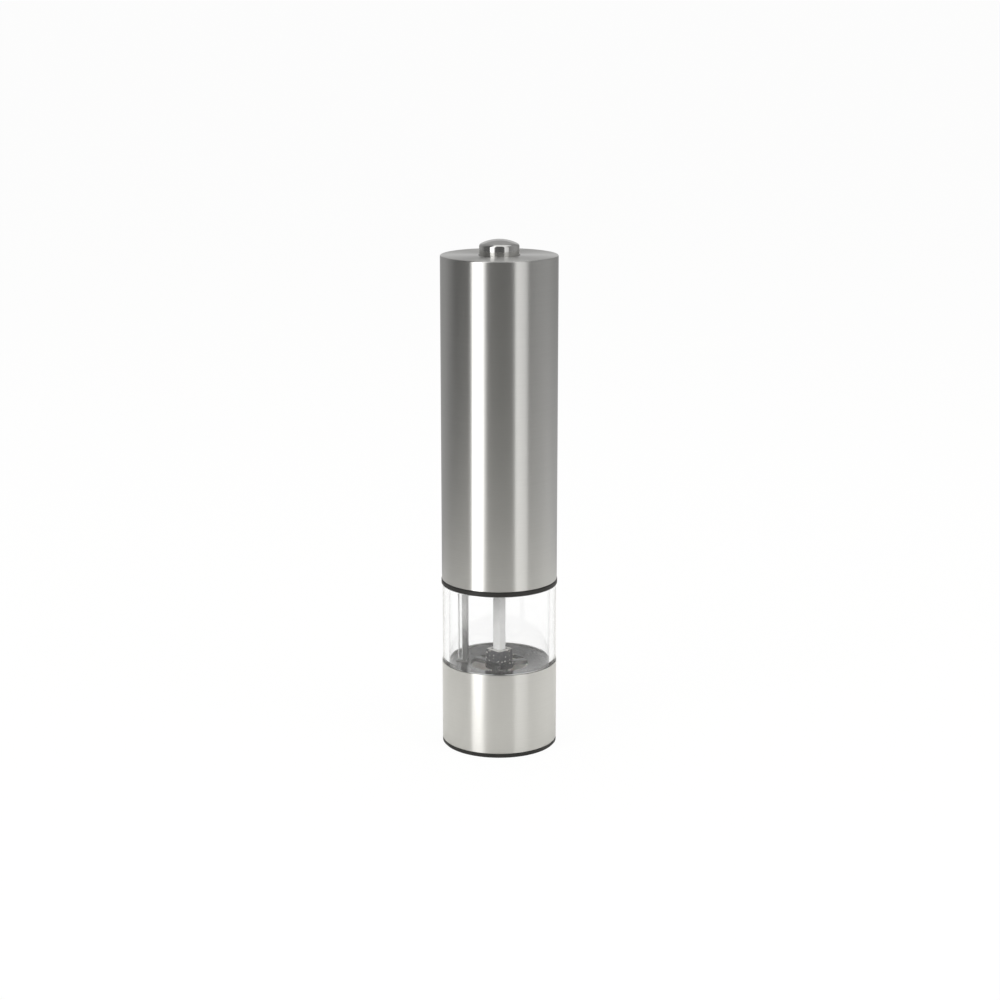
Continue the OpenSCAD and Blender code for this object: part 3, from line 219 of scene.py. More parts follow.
class Finish:
    """A surface built from nodes: colour, roughness and relief over a plain shader."""

    def __init__(self, name, metallic=0.0, roughness=0.5, ior=1.5, gloss_level=0.5):
        """Starts from one shader with constant values."""
        self.material = bpy.data.materials.new(name)
        self.material.use_nodes = True
        self.tree = self.material.node_tree
        self.shader = self.tree.nodes["Principled BSDF"]
        self.shader.inputs["Metallic"].default_value = metallic
        self.shader.inputs["Roughness"].default_value = roughness
        self.shader.inputs["IOR"].default_value = ior
        self.shader.inputs["Specular IOR Level"].default_value = gloss_level
        self.place = self.tree.nodes.new("ShaderNodeTexCoord").outputs["Object"]
        self.height = None

    def stretched(self, scale):
        """Object coordinates, scaled per axis."""
        node = self.tree.nodes.new("ShaderNodeMapping")
        node.inputs["Scale"].default_value = scale
        self.tree.links.new(self.place, node.inputs["Vector"])
        return node.outputs["Vector"]

    def clouds(self, size_mm, scale=(1, 1, 1), detail=4.0, roughness=0.55):
        """Noise whose patches are about size_mm across."""
        node = self.tree.nodes.new("ShaderNodeTexNoise")
        node.inputs["Scale"].default_value = 1 / (size_mm * MM)
        node.inputs["Detail"].default_value = detail
        node.inputs["Roughness"].default_value = roughness
        self.tree.links.new(self.stretched(scale), node.inputs["Vector"])
        return node.outputs["Fac"]

    def grains(self, size_mm):
        """Distance field of scattered grains about size_mm apart."""
        node = self.tree.nodes.new("ShaderNodeTexVoronoi")
        node.inputs["Scale"].default_value = 1 / (size_mm * MM)
        self.tree.links.new(self.place, node.inputs["Vector"])
        return node.outputs["Distance"]

    def bands(self, size_mm, distortion):
        """Even bands up the axis, size_mm apart."""
        node = self.tree.nodes.new("ShaderNodeTexWave")
        node.bands_direction = "Z"
        node.inputs["Scale"].default_value = 1 / (size_mm * MM) * math.pi / 10
        node.inputs["Distortion"].default_value = distortion
        node.inputs["Detail"].default_value = 1.0
        self.tree.links.new(self.place, node.inputs["Vector"])
        return node.outputs["Fac"]

    def spread(self, value, low, high, from_low=0.3, from_high=0.7):
        """A value brought to a range."""
        node = self.tree.nodes.new("ShaderNodeMapRange")
        node.inputs["From Min"].default_value = from_low
        node.inputs["From Max"].default_value = from_high
        node.inputs["To Min"].default_value = low
        node.inputs["To Max"].default_value = high
        self.tree.links.new(value, node.inputs["Value"])
        return node.outputs["Result"]

    def ramp(self, value, stops):
        """A colour for each place along a value."""
        node = self.tree.nodes.new("ShaderNodeValToRGB")
        ramp = node.color_ramp
        while len(ramp.elements) < len(stops):
            ramp.elements.new(0.5)
        for element, (position, colour) in zip(ramp.elements, stops):
            element.position = position
            element.color = (*colour, 1)
        self.tree.links.new(value, node.inputs["Fac"])
        return node.outputs["Color"]

    def mix(self, share, first, second):
        """Two colours mixed by a share."""
        node = self.tree.nodes.new("ShaderNodeMix")
        node.data_type = "RGBA"
        self.tree.links.new(share, node.inputs[0])
        for socket, value in ((node.inputs[6], first), (node.inputs[7], second)):
            if isinstance(value, tuple):
                socket.default_value = (*value, 1)
            else:
                self.tree.links.new(value, socket)
        return node.outputs[2]

    def sum(self, first, second):
        """Two values added."""
        return worked_out(self.tree, "ADD", first, second)

    def product(self, first, second):
        """Two values multiplied."""
        return worked_out(self.tree, "MULTIPLY", first, second)

    def axis_part(self, vector, axis="Z"):
        """One coordinate of a vector."""
        node = self.tree.nodes.new("ShaderNodeSeparateXYZ")
        self.tree.links.new(vector, node.inputs[0])
        return node.outputs[axis]

    def height_share(self, node_name):
        """0 at the foot and 1 at the top of a CAD node."""
        low, high = sizes(node_name)
        return self.spread(self.axis_part(self.place), 0.0, 1.0, low[2] * MM, high[2] * MM)

    def from_axis(self):
        """Distance from the mill's upright axis."""
        level = self.tree.nodes.new("ShaderNodeVectorMath")
        level.operation = "MULTIPLY"
        level.inputs[1].default_value = (1, 1, 0)
        self.tree.links.new(self.place, level.inputs[0])
        node = self.tree.nodes.new("ShaderNodeVectorMath")
        node.operation = "LENGTH"
        self.tree.links.new(level.outputs["Vector"], node.inputs[0])
        return node.outputs["Value"]

    def colour(self, value):
        """Links a colour to the shader."""
        self.tree.links.new(value, self.shader.inputs["Base Color"])

    def rough(self, value):
        """Links a roughness to the shader."""
        self.tree.links.new(value, self.shader.inputs["Roughness"])

    def relief(self, value, depth_mm, strength=0.5):
        """Adds relief; each one lies over the last."""
        node = self.tree.nodes.new("ShaderNodeBump")
        node.inputs["Strength"].default_value = strength
        node.inputs["Distance"].default_value = depth_mm * MM
        self.tree.links.new(value, node.inputs["Height"])
        if self.height is not None:
            self.tree.links.new(self.height, node.inputs["Normal"])
        self.height = node.outputs["Normal"]
        self.tree.links.new(self.height, self.shader.inputs["Normal"])


def brushed_steel():
    """Steel brushed round the tube: fine lines, and gloss drawn out up and down."""
    f = Finish("brushed_steel", metallic=1.0, roughness=0.3)
    f.shader.inputs["Anisotropic"].default_value = 0.95
    f.shader.inputs["Anisotropic Rotation"].default_value = 0.25
    lines = f.clouds(30, scale=(1, 1, 160), detail=3, roughness=0.6)
    patches = f.clouds(26, detail=2)
    shade = f.ramp(lines, [(0.3, (0.628, 0.623, 0.603)), (0.7, (0.656, 0.651, 0.631))])
    f.colour(shade)
    f.rough(f.spread(f.sum(lines, patches), 0.29, 0.31, 0.7, 1.3))
    return f.material


def polished_steel():
    """Polished cap with the faint marks of its buffing."""
    f = Finish("polished_steel", metallic=1.0, roughness=0.08)
    marks = f.clouds(5, detail=5)
    f.colour(f.ramp(marks, [(0.3, (0.62, 0.615, 0.60)), (0.7, (0.70, 0.695, 0.68))]))
    f.rough(f.spread(marks, 0.05, 0.12))
    f.relief(f.clouds(0.8, detail=3), 0.002, 0.08)
    return f.material


def moulded(name, dark, light, rough_low, rough_high, grain_mm, depth_mm, strength, gloss_level=0.5):
    """Moulded plastic: soft colour drift, a fine eroded grain, and gloss that varies with handling."""
    f = Finish(name, roughness=(rough_low + rough_high) / 2, gloss_level=gloss_level)
    drift = f.clouds(14, detail=3)
    f.colour(f.ramp(drift, [(0.3, dark), (0.7, light)]))
    f.rough(f.spread(f.clouds(6, detail=5), rough_low, rough_high))
    f.relief(f.clouds(grain_mm, detail=2), depth_mm, strength)
    return f.material


def machined(name, dark, light, rough_low, rough_high, pitch_mm=0.15, metallic=1.0, strength=0.2):
    """Machined or drawn metal with faint tool lines across its axis."""
    f = Finish(name, metallic=metallic, roughness=(rough_low + rough_high) / 2)
    lines = f.clouds(4, scale=(1, 1, 4 / pitch_mm / 6), detail=3)
    stains = f.clouds(9, detail=4)
    f.colour(f.ramp(f.product(f.sum(lines, stains), 0.5), [(0.35, dark), (0.65, light)]))
    f.rough(f.spread(stains, rough_low, rough_high))
    f.relief(lines, 0.01, strength)
    return f.material


def dust_and_painted_light_moulding(name, dark, light, rough_low, rough_high, grain_mm, dust_share, settled_dust_and_sheen, side_painted_light=0.0):
    """Glossy dark plastic with ground pepper specks on it; a pale film on what faces up, partly settled dust
    and partly painted highlight, and a painted light on upright faces away from the bearing in the middle."""
    bearing_r, clear_r = 6.4, 7.2
    f = Finish(name, roughness=(rough_low + rough_high) / 2, gloss_level=0.2)
    plain = f.ramp(f.clouds(10, detail=3), [(0.3, dark), (0.7, light)])
    where = f.spread(f.clouds(4, detail=3), -0.10, 0.10)
    speck = f.spread(f.sum(f.grains(grain_mm), where), 1.0, 0.0, dust_share, dust_share + 0.07)
    grain_tone = f.ramp(f.clouds(1.1, detail=2),
                        [(0.35, (0.16, 0.14, 0.12)), (0.5, (0.55, 0.52, 0.47)), (0.62, (0.90, 0.88, 0.83))])
    facing_up = f.axis_part(f.tree.nodes.new("ShaderNodeNewGeometry").outputs["Normal"])
    off_bearing = f.spread(f.from_axis(), 0.0, 1.0, bearing_r * MM, clear_r * MM)
    # painted light: upright faces away from the bearing are lightened, to lift the shade on the walls of the floor's
    # openings
    painted_light_on_sides = f.product(f.spread(facing_up, side_painted_light, 0.0, 0.3, 0.6), off_bearing)
    # faces that look up get a pale film: partly settled dust, partly a painted highlight on the hub's top
    dust_and_painted_light = f.sum(f.spread(facing_up, 0.0, settled_dust_and_sheen, 0.75, 0.95), painted_light_on_sides)
    dust_and_light_film = f.product(dust_and_painted_light, f.spread(f.clouds(1.6, detail=4), 0.55, 1.0))
    # the film's pale colour carries both dust and painted light
    dust_and_light_filmed = f.mix(dust_and_light_film, plain, (0.78, 0.765, 0.73))
    f.colour(f.mix(speck, dust_and_light_filmed, grain_tone))
    gloss = f.spread(f.clouds(7, detail=4), rough_low, rough_high)
    f.rough(f.sum(gloss, f.product(f.sum(speck, dust_and_light_film), 0.4)))
    f.relief(f.clouds(0.4, detail=2), 0.015, 0.12)
    f.relief(speck, 0.12, 0.6)
    return f.material


def clear_acrylic():
    """Clear acrylic wall: no tint face on, and a painted grey shade where the eye looks along the plastic."""
    f = Finish("clear_acrylic", roughness=0.0, ior=1.49, gloss_level=0.2)
    f.shader.inputs["Transmission Weight"].default_value = 1.0
    edge = f.tree.nodes.new("ShaderNodeLayerWeight")
    edge.inputs["Blend"].default_value = 0.5
    flow = f.spread(f.clouds(18, scale=(1, 1, 0.5), detail=2), -0.01, 0.01)
    # painted shade: the colour greys towards grazing view angles, standing in for the darkening at the wall's edges
    f.colour(f.ramp(f.sum(edge.outputs["Facing"], flow),
                    [(0.0, (1.0, 1.0, 1.0)), (0.58, (0.998, 0.999, 0.998)), (0.70, (0.95, 0.955, 0.955)),
                     (0.80, (0.72, 0.725, 0.725)), (0.9, (0.36, 0.365, 0.365)), (1.0, (0.22, 0.225, 0.225))]))
    return f.material


def frosted_tube():
    """Translucent plastic of the conduit: grey from the wires in it, and darker towards its foot."""
    f = Finish("frosted_tube", roughness=0.35, ior=1.49)
    haze = f.clouds(3, detail=4)
    up = f.sum(f.height_share("lamp_conduit"), f.spread(haze, -0.03, 0.03))
    # colour darker towards the foot, paler towards the top
    f.colour(f.ramp(up, [(0.0, (0.09, 0.09, 0.088)), (0.22, (0.11, 0.11, 0.108)), (0.36, (0.20, 0.20, 0.196)),
                         (0.52, (0.40, 0.40, 0.393)), (0.8, (0.56, 0.56, 0.55)), (1.0, (0.80, 0.80, 0.79))]))
    f.rough(f.spread(haze, 0.28, 0.42))
    f.relief(f.clouds(0.5, detail=2), 0.01, 0.15)
    return f.material


def pale_web():
    """Clear web between the conduit and its rail, a little hazy."""
    f = Finish("pale_web", roughness=0.12, ior=1.25)
    f.shader.inputs["Transmission Weight"].default_value = 1.0
    haze = f.clouds(2.5, detail=3)
    f.colour(f.ramp(haze, [(0.3, (0.95, 0.955, 0.95)), (0.7, (0.99, 0.992, 0.99))]))
    f.rough(f.spread(haze, 0.06, 0.16))
    return f.material


def ceramic():
    """Fired ceramic: matte white with a fine tooth and grey rub marks in patches."""
    f = Finish("ceramic_white", roughness=0.5)
    f.shader.inputs["Subsurface Weight"].default_value = 0.1
    f.shader.inputs["Subsurface Scale"].default_value = 0.0008
    rub = f.clouds(2.2, detail=5)
    f.colour(f.ramp(rub, [(0.3, (0.74, 0.72, 0.67)), (0.5, (0.84, 0.82, 0.78)), (0.7, (0.88, 0.87, 0.84))]))
    f.rough(f.spread(f.clouds(1.2, detail=3), 0.4, 0.6))
    f.relief(f.clouds(0.15, detail=2), 0.008, 0.3)
    return f.material


def copper_winding():
    """Enamelled copper wire wound in close turns."""
    f = Finish("copper_winding", metallic=1.0, roughness=0.3)
    turns = f.bands(0.35, distortion=0.6)
    # painted shade and highlight: the colour darkens in the grooves between turns and lightens on their crowns
    f.colour(f.ramp(turns, [(0.0, (0.16, 0.05, 0.02)), (0.6, (0.55, 0.22, 0.09)), (1.0, (0.70, 0.32, 0.15))]))
    f.rough(f.spread(f.clouds(1.5, detail=3), 0.22, 0.4))
    f.relief(turns, 0.12, 0.6)
    return f.material


def iron_stack():
    """Stacked iron sheets of the armature."""
    f = Finish("iron_stack", metallic=1.0, roughness=0.45)
    sheets = f.bands(0.5, distortion=0.05)
    stains = f.clouds(3, detail=4)
    f.colour(f.mix(stains, (0.20, 0.20, 0.21), (0.34, 0.33, 0.33)))
    f.rough(f.spread(stains, 0.35, 0.55))
    f.relief(sheets, 0.08, 0.5)
    return f.material


def cell_sleeve():
    """Plain green sleeve of a cell, without any print, and bare metal at both ends."""
    bare_end = 0.045
    f = Finish("cell_sleeve", roughness=0.3)
    f.shader.inputs["Coat Weight"].default_value = 0.5
    f.shader.inputs["Coat Roughness"].default_value = 0.08
    green = f.mix(f.clouds(8, detail=2), (0.012, 0.085, 0.060), (0.016, 0.110, 0.080))
    bare = f.ramp(f.height_share("battery_cells"),
                  [(0.0, (1, 1, 1)), (bare_end, (0, 0, 0)), (1.0 - bare_end, (1, 1, 1))])
    bare.node.color_ramp.interpolation = "CONSTANT"
    f.colour(f.mix(bare, green, (0.62, 0.62, 0.60)))
    metal = f.tree.nodes.new("ShaderNodeRGBToBW")
    f.tree.links.new(bare, metal.inputs[0])
    f.tree.links.new(metal.outputs[0], f.shader.inputs["Metallic"])
    f.rough(f.spread(f.clouds(5, detail=4), 0.22, 0.36))
    f.relief(f.clouds(1.5, detail=2), 0.01, 0.1)
    return f.material


def lamp_lens():
    """Clear moulded lens of the lamp, a little warm."""
    f = Finish("lamp_lens", roughness=0.08, ior=1.5)
    f.shader.inputs["Transmission Weight"].default_value = 0.7
    haze = f.clouds(2, detail=3)
    f.colour(f.ramp(haze, [(0.3, (0.90, 0.88, 0.78)), (0.7, (0.96, 0.94, 0.86))]))
    f.rough(f.spread(haze, 0.05, 0.14))
    return f.material


# ---------- stage, light and camera ----------

CAMERA_PLACE = (0.0003, -0.882, 0.320)
CAMERA_PITCH = 13.465       # degrees that the camera looks down
CAMERA_LENS = 75.6          # mm, on a 36 mm sensor
LAMPS_AIM = (0, 0, 0.1)
TABLE_SIZE = 400
TABLE_PAINT = (0.86, 0.853, 0.82, 1)
TABLE_WHITE_SHARE = 0.95    # how much of the table's own white the eye sees
DRUM_RADIUS, DRUM_HEIGHT = 0.27, 1.2
DRUM_LOW, DRUM_HIGH = 0.04, 0.16    # between these heights the drum goes from its low to its high radiance


def glow_piece(piece, name, material):
    """Sets up a stage piece that only gloss sees."""
    piece.name = name
    piece.data.materials.clear()
    piece.data.materials.append(material)
    piece.visible_camera = False
    piece.visible_diffuse = False
    piece.visible_shadow = False
    piece.visible_transmission = False
    piece.visible_glossy = True
    return piece


def empty_tree(data):
    """The node tree of a material or world, with nothing in it."""
    data.use_nodes = True
    data.node_tree.nodes.clear()
    return data.node_tree


def blend(tree, share, first, second):
    """Two shaders blended by a share."""
    mix = tree.nodes.new("ShaderNodeMixShader")
    for socket, source in zip(mix.inputs, (share, first, second)):
        tree.links.new(source, socket)
    return mix.outputs[0]


def emission(tree, strength):
    """A plain glow."""
    light = tree.nodes.new("ShaderNodeEmission")
    light.inputs["Strength"].default_value = strength
    return light


def backdrop(tree, strength):
    """White background of one strength."""
    node = tree.nodes.new("ShaderNodeBackground")
    node.inputs["Color"].default_value = (1, 1, 1, 1)
    node.inputs["Strength"].default_value = strength
    return node.outputs[0]


def build_world():
    """White room: full white to the eye, gloss and clear plastic, a little dimmer as light."""
    world = bpy.data.worlds.new("studio")
    bpy.context.scene.world = world
    tree = empty_tree(world)
    path = tree.nodes.new("ShaderNodeLightPath")
    seen = worked_out(tree, "MAXIMUM", path.outputs["Is Camera Ray"], path.outputs["Is Glossy Ray"])
    seen = worked_out(tree, "MAXIMUM", seen, path.outputs["Is Transmission Ray"])
    out = tree.nodes.new("ShaderNodeOutputWorld")
    tree.links.new(blend(tree, seen, backdrop(tree, 0.62), backdrop(tree, 1.0)), out.inputs["Surface"])


def build_table():
    """Pale table that shows white, keeps a little of the mill's shadow and is open to the eye from below."""
    deselect()
    bpy.ops.mesh.primitive_plane_add(size=TABLE_SIZE, location=(0, 0, 0))
    table = bpy.context.object
    material = bpy.data.materials.new("pale_table")
    tree = empty_tree(material)
    paint = tree.nodes.new("ShaderNodeBsdfDiffuse")
    paint.inputs["Color"].default_value = TABLE_PAINT
    path = tree.nodes.new("ShaderNodeLightPath")
    seen = worked_out(tree, "MAXIMUM", path.outputs["Is Camera Ray"], path.outputs["Is Transmission Ray"])
    share = worked_out(tree, "MULTIPLY", seen, TABLE_WHITE_SHARE)
    top = blend(tree, share, paint.outputs[0], emission(tree, 1.0).outputs[0])
    side = tree.nodes.new("ShaderNodeNewGeometry")
    from_below = worked_out(tree, "MULTIPLY", side.outputs["Backfacing"], path.outputs["Is Camera Ray"])
    gone = tree.nodes.new("ShaderNodeBsdfTransparent")
    out = tree.nodes.new("ShaderNodeOutputMaterial")
    tree.links.new(blend(tree, from_below, top, gone.outputs[0]), out.inputs["Surface"])
    table.name = "table"
    table.data.materials.append(material)


# What gloss sees round the mill: (azimuth in degrees, radiance high up, radiance low down);
# azimuth 0 is towards the camera and + is to its right
SURROUND = [
    (-90, 0.14, 0.18), (-76, 0.14, 0.18), (-54.5, 0.12, 0.18), (-51, 2.3, 4.3), (-34.5, 2.3, 4.7),
    (-29, 1.2, 1.2), (-23, 0.14, 0.06), (-13, 0.14, 0.04), (3, 0.12, 0.03), (18, 0.13, 0.03),
    (28.5, 0.14, 0.08), (30.5, 1.04, 1.28), (48, 0.84, 1.02), (54, 0.74, 0.88), (56.5, 0.26, 0.28),
    (78, 0.34, 0.38), (108, 0.37, 0.60), (137, 0.31, 0.56), (152, 0.30, 0.50), (163, 0.42, 0.5),
    (197, 0.42, 0.5), (208, 0.34, 0.44), (234, 0.35, 0.36), (250, 0.28, 0.22), (270, 0.14, 0.18),
]


def build_surround():
    """Tall drum round the mill that only gloss sees: a wide and a narrow softbox with dark between them."""
    deselect()
    bpy.ops.mesh.primitive_cylinder_add(vertices=180, radius=DRUM_RADIUS, depth=DRUM_HEIGHT,
                                        end_fill_type="NOTHING", location=(0, 0, DRUM_HEIGHT / 2))
    drum = bpy.context.object
    bpy.ops.object.transform_apply(location=True)
    material = bpy.data.materials.new("surround_glow")
    tree = empty_tree(material)
    place = tree.nodes.new("ShaderNodeTexCoord")
    turn = tree.nodes.new("ShaderNodeTexGradient")
    turn.gradient_type = "RADIAL"
    tree.links.new(place.outputs["Object"], turn.inputs["Vector"])
    brightest = max(max(row[1:]) for row in SURROUND)
    tones = []
    for level in (1, 2):
        tone = tree.nodes.new("ShaderNodeValToRGB")
        elements = tone.color_ramp.elements
        while len(elements) < len(SURROUND):
            elements.new(0.5)
        for element, row in zip(elements, SURROUND):
            element.position = (row[0] + 90) / 360
            value = row[level] / brightest
            element.color = (value, value, value, 1)
        tree.links.new(turn.outputs["Fac"], tone.inputs["Fac"])
        tones.append(tone)
    split = tree.nodes.new("ShaderNodeSeparateXYZ")
    tree.links.new(place.outputs["Object"], split.inputs[0])
    lowness = tree.nodes.new("ShaderNodeMapRange")
    lowness.inputs["From Min"].default_value = DRUM_HIGH
    lowness.inputs["From Max"].default_value = DRUM_LOW
    tree.links.new(split.outputs["Z"], lowness.inputs["Value"])
    mix = tree.nodes.new("ShaderNodeMix")
    mix.data_type = "RGBA"
    tree.links.new(lowness.outputs[0], mix.inputs[0])
    tree.links.new(tones[0].outputs["Color"], mix.inputs[6])
    tree.links.new(tones[1].outputs["Color"], mix.inputs[7])
    light = emission(tree, brightest)
    tree.links.new(mix.outputs[2], light.inputs["Color"])
    out = tree.nodes.new("ShaderNodeOutputMaterial")
    tree.links.new(light.outputs[0], out.inputs["Surface"])
    return glow_piece(drum, "surround_drum", material)


def glow_card(name, place, size, turn, radiance):
    """Small plain card that only gloss sees."""
    deselect()
    bpy.ops.mesh.primitive_plane_add(size=1, location=place, rotation=turn)
    card = bpy.context.object
    card.scale = (size[0], size[1], 1)
    material = bpy.data.materials.new(name + "_glow")
    tree = empty_tree(material)
    out = tree.nodes.new("ShaderNodeOutputMaterial")
    tree.links.new(emission(tree, radiance).outputs[0], out.inputs["Surface"])
    return glow_piece(card, name, material)


def lamp(name, place, size, power):
    """Soft area lamp aimed at the mill. Gloss sees the drum and the cards in its stead."""
    data = bpy.data.lights.new(name, "AREA")
    data.shape = "RECTANGLE"
    data.size, data.size_y = size
    data.energy = power
    obj = bpy.data.objects.new(name, data)
    bpy.context.scene.collection.objects.link(obj)
    obj.location = place
    aim = Vector(LAMPS_AIM) - Vector(place)
    obj.rotation_euler = aim.to_track_quat("-Z", "Y").to_euler()
    obj.visible_glossy = False
    return obj


def build_studio():
    """The room, the table, what gloss sees and the three soft lamps."""
    build_world()
    build_table()
    build_surround()
    level, upright = (0, 0, 0), (math.radians(90), 0, 0)
    glow_card("card_over_button", (0.042, 0.012, 0.43), (0.19, 0.19), level, 1.0)
    glow_card("card_behind_top", (0, 0.25, 0.275), (0.27, 0.15), upright, 0.58)
    lamp("key_lamp", (-0.7, -0.8, 0.9), (0.7, 0.9), 7)
    lamp("fill_lamp", (0.9, -0.6, 0.7), (0.7, 0.9), 4)
    lamp("top_lamp", (0.0, 0.1, 1.3), (0.9, 0.9), 6)


def build_camera():
    """Camera at the photo's place and angle."""
    data = bpy.data.cameras.new("camera")
    data.sensor_width = 36
    data.lens = CAMERA_LENS
    data.clip_start = 0.05
    camera = bpy.data.objects.new("camera", data)
    bpy.context.scene.collection.objects.link(camera)
    camera.location = CAMERA_PLACE
    camera.rotation_euler = (math.radians(90 - CAMERA_PITCH), 0, 0)
    bpy.context.scene.camera = camera


# ---------- pieces of the mill ----------

def build_cover(steel):
    """Drawn steel cover: wall, rounded shoulder, flat top with the button's hole, and its thickness."""
    low, high = sizes("cover_tube")
    r, z0, z1 = high[0], low[2], high[2]
    inside_r, under_top = r - SHEET, z1 - SHEET
    rounding, inner_rounding, lip, hole = 0.5, 0.2, 0.12, 8.85
    profile = [(inside_r, z0 + lip), (inside_r + lip, z0), (r - lip, z0), (r, z0 + lip)]
    profile += steps_between(r, z0, z1 - rounding, 8)
    profile += arc(r - rounding, z1 - rounding, rounding, 0, 90, 8)
    profile += [(hole + 6, z1), (hole + lip, z1), (hole, z1 - lip)]
    profile += [(hole, under_top + lip), (hole + lip, under_top)]
    profile += arc(inside_r - inner_rounding, under_top - inner_rounding, inner_rounding, 90, 0, 4)
    return settle(turned(profile), "cover_shell", steel, "cover", ["cover_tube"])


def build_sleeve(steel):
    """Drawn steel sleeve round the base, with eased edges."""
    low, high = sizes("base_sleeve")
    r, z0, z1 = high[0], low[2], high[2]
    lip = 0.15
    profile = [(r - SHEET, z0), (r - lip, z0), (r, z0 + lip)] + steps_between(r, z0, z1, 5)
    profile += arc(r - lip, z1 - lip, lip, 0, 90, 4) + [(r - SHEET, z1)]
    return settle(turned(profile), "sleeve_shell", steel, "base", ["base_sleeve"])


def build_button(polish):
    """Polished cap: dome, rolled shoulder, straight wall and the flange under the cover."""
    low, high = sizes("push_button")
    r, z0, z1 = 8.5, low[2], high[2]
    dome, shoulder, wall, ease = 2.2, 1.0, 0.7, 0.2
    flange_r, flange_top, flange_t, flange_ease = high[0], 214.1, 1.0, 0.15
    dome_r = (r * r + dome * dome) / (2 * dome)
    centre = z1 - dome_r

    def dome_height(radius, ball_r=dome_r):
        """Height of the dome, or of its underside, at a distance from the axis."""
        return centre + math.sqrt(ball_r ** 2 - radius ** 2)

    meet = r - shoulder * 1.15
    meet_z = dome_height(meet)
    wall_top = meet_z - shoulder * 1.25
    slope = meet / math.sqrt(dome_r ** 2 - meet ** 2)
    corner_z = meet_z + (meet - r) * slope
    profile = [(r - wall, z0 + ease), (r - wall + ease, z0), (r - ease, z0), (r, z0 + ease),
               (r, flange_top - flange_t), (flange_r - flange_ease, flange_top - flange_t),
               (flange_r, flange_top - flange_t + flange_ease), (flange_r, flange_top - flange_ease),
               (flange_r - flange_ease, flange_top), (r, flange_top),
               (r, (flange_top + wall_top) / 2), (r, wall_top)]
    # the rolled shoulder: a smooth curve from the wall into the dome
    for i in range(1, 8):
        t = i / 8
        at_wall, at_corner, at_dome = (1 - t) ** 2, 2 * t * (1 - t), t ** 2
        profile.append((at_wall * r + at_corner * r + at_dome * meet,
                        at_wall * wall_top + at_corner * corner_z + at_dome * meet_z))
    for i in range(12):
        radius = meet * (1 - i / 12)
        profile.append((radius, dome_height(radius)))
    profile.append((0, z1))
    inside = [(0, z1 - wall)]
    for i in range(1, 6):
        radius = (r - wall - 1.0) * i / 5
        inside.append((radius, dome_height(radius, dome_r - wall)))
    inside += [(r - wall, inside[-1][1] - 1.0), (r - wall, z0 + ease)]
    cap = joined(turned(profile, 160, closed=False), turned(inside, 160, closed=False))
    bpy.ops.object.mode_set(mode="EDIT")
    bpy.ops.mesh.select_all(action="SELECT")
    bpy.ops.mesh.remove_doubles(threshold=1e-6)
    face_outwards()
    return settle(cap, "button_cap", polish, "button", ["push_button"], angle=40)


def build_chamber(acrylic):
    """Clear chamber as one thick wall with its spigot, shoulder and neck."""
    low, high = sizes("pepper_chamber")
    z0, z1 = low[2], high[2]
    sleeve_top = sizes("base_sleeve")[1][2]
    seat, shoulder = sleeve_top + 0.1, 72.2
    spigot_r, wall_r, bore_r, neck_r = 24.35, 24.7, 22.05, 23.35
    ease = 0.25
    profile = [(bore_r + ease, z0), (spigot_r - ease, z0), (spigot_r, z0 + ease), (spigot_r, seat)]
    profile += [(wall_r - ease, seat), (wall_r, seat + ease)] + steps_between(wall_r, sleeve_top, shoulder, 5)
    profile += arc(wall_r - ease, shoulder - ease, ease, 0, 90, 3)
    profile += [(neck_r, shoulder), (neck_r, z1 - ease), (neck_r - ease, z1)]
    profile += [(bore_r + ease, z1), (bore_r, z1 - ease)] + steps_between(bore_r, z1, z0, 6) + [(bore_r, z0 + ease)]
    wall = settle(turned(profile), "chamber_wall", acrylic, "base", ["pepper_chamber"])
    wall.visible_shadow = False
    return wall


def square_bar(flats, z0, z1, corner, corner_steps):
    """A square bar standing corner on, its upright edges rounded; it is left in edit mode."""
    deselect()
    bpy.ops.mesh.primitive_cube_add(size=1, location=(0, 0, (z0 + z1) / 2 * MM))
    bar = bpy.context.object
    bar.scale = (flats * MM, flats * MM, (z1 - z0) * MM)
    bar.rotation_euler = (0, 0, CORNER_ON)
    bpy.ops.object.transform_apply(location=True, rotation=True, scale=True)
    bpy.ops.object.mode_set(mode="EDIT")
    select_edges(bar, lambda a, b: abs(a.z - b.z) > MM)
    bpy.ops.mesh.bevel(offset=corner * MM, segments=corner_steps, affect="EDGES")
    return bar


def build_shaft(metal):
    """Square drawn bar with eased corners and ends, and a round tail with ring grooves at the thread's pitch."""
    low, high = sizes("drive_shaft")
    tail_z, top = low[2], high[2]
    flats, tail_r, tail_top = 4.0, 1.7, 18.35
    bar = square_bar(flats, tail_top, top, 0.3, 4)
    select_edges(bar, lambda a, b: min(a.z, b.z) > (top - 0.01) * MM or max(a.z, b.z) < (tail_top + 0.01) * MM)
    bpy.ops.mesh.bevel(offset=0.2 * MM, segments=2, affect="EDGES")
    bpy.ops.object.mode_set(mode="OBJECT")
    pitch, depth = 0.8, 0.22
    root_r = tail_r - depth
    profile = [(0, tail_z), (tail_r - 0.3, tail_z), (root_r, tail_z + 0.2)]
    for i in range(int((tail_top - tail_z - 0.6) / pitch)):
        z = tail_z + 0.35 + i * pitch
        profile += [(root_r, z), (tail_r, z + pitch * 0.35)]
        profile += [(tail_r, z + pitch * 0.5), (root_r, z + pitch * 0.85)]
    profile += [(root_r, tail_top + 0.3), (0, tail_top + 0.3)]
    bar = joined(bar, turned(profile, 48))
    return settle(bar, "drive_bar", metal, "shaft", ["drive_shaft"], angle=40)


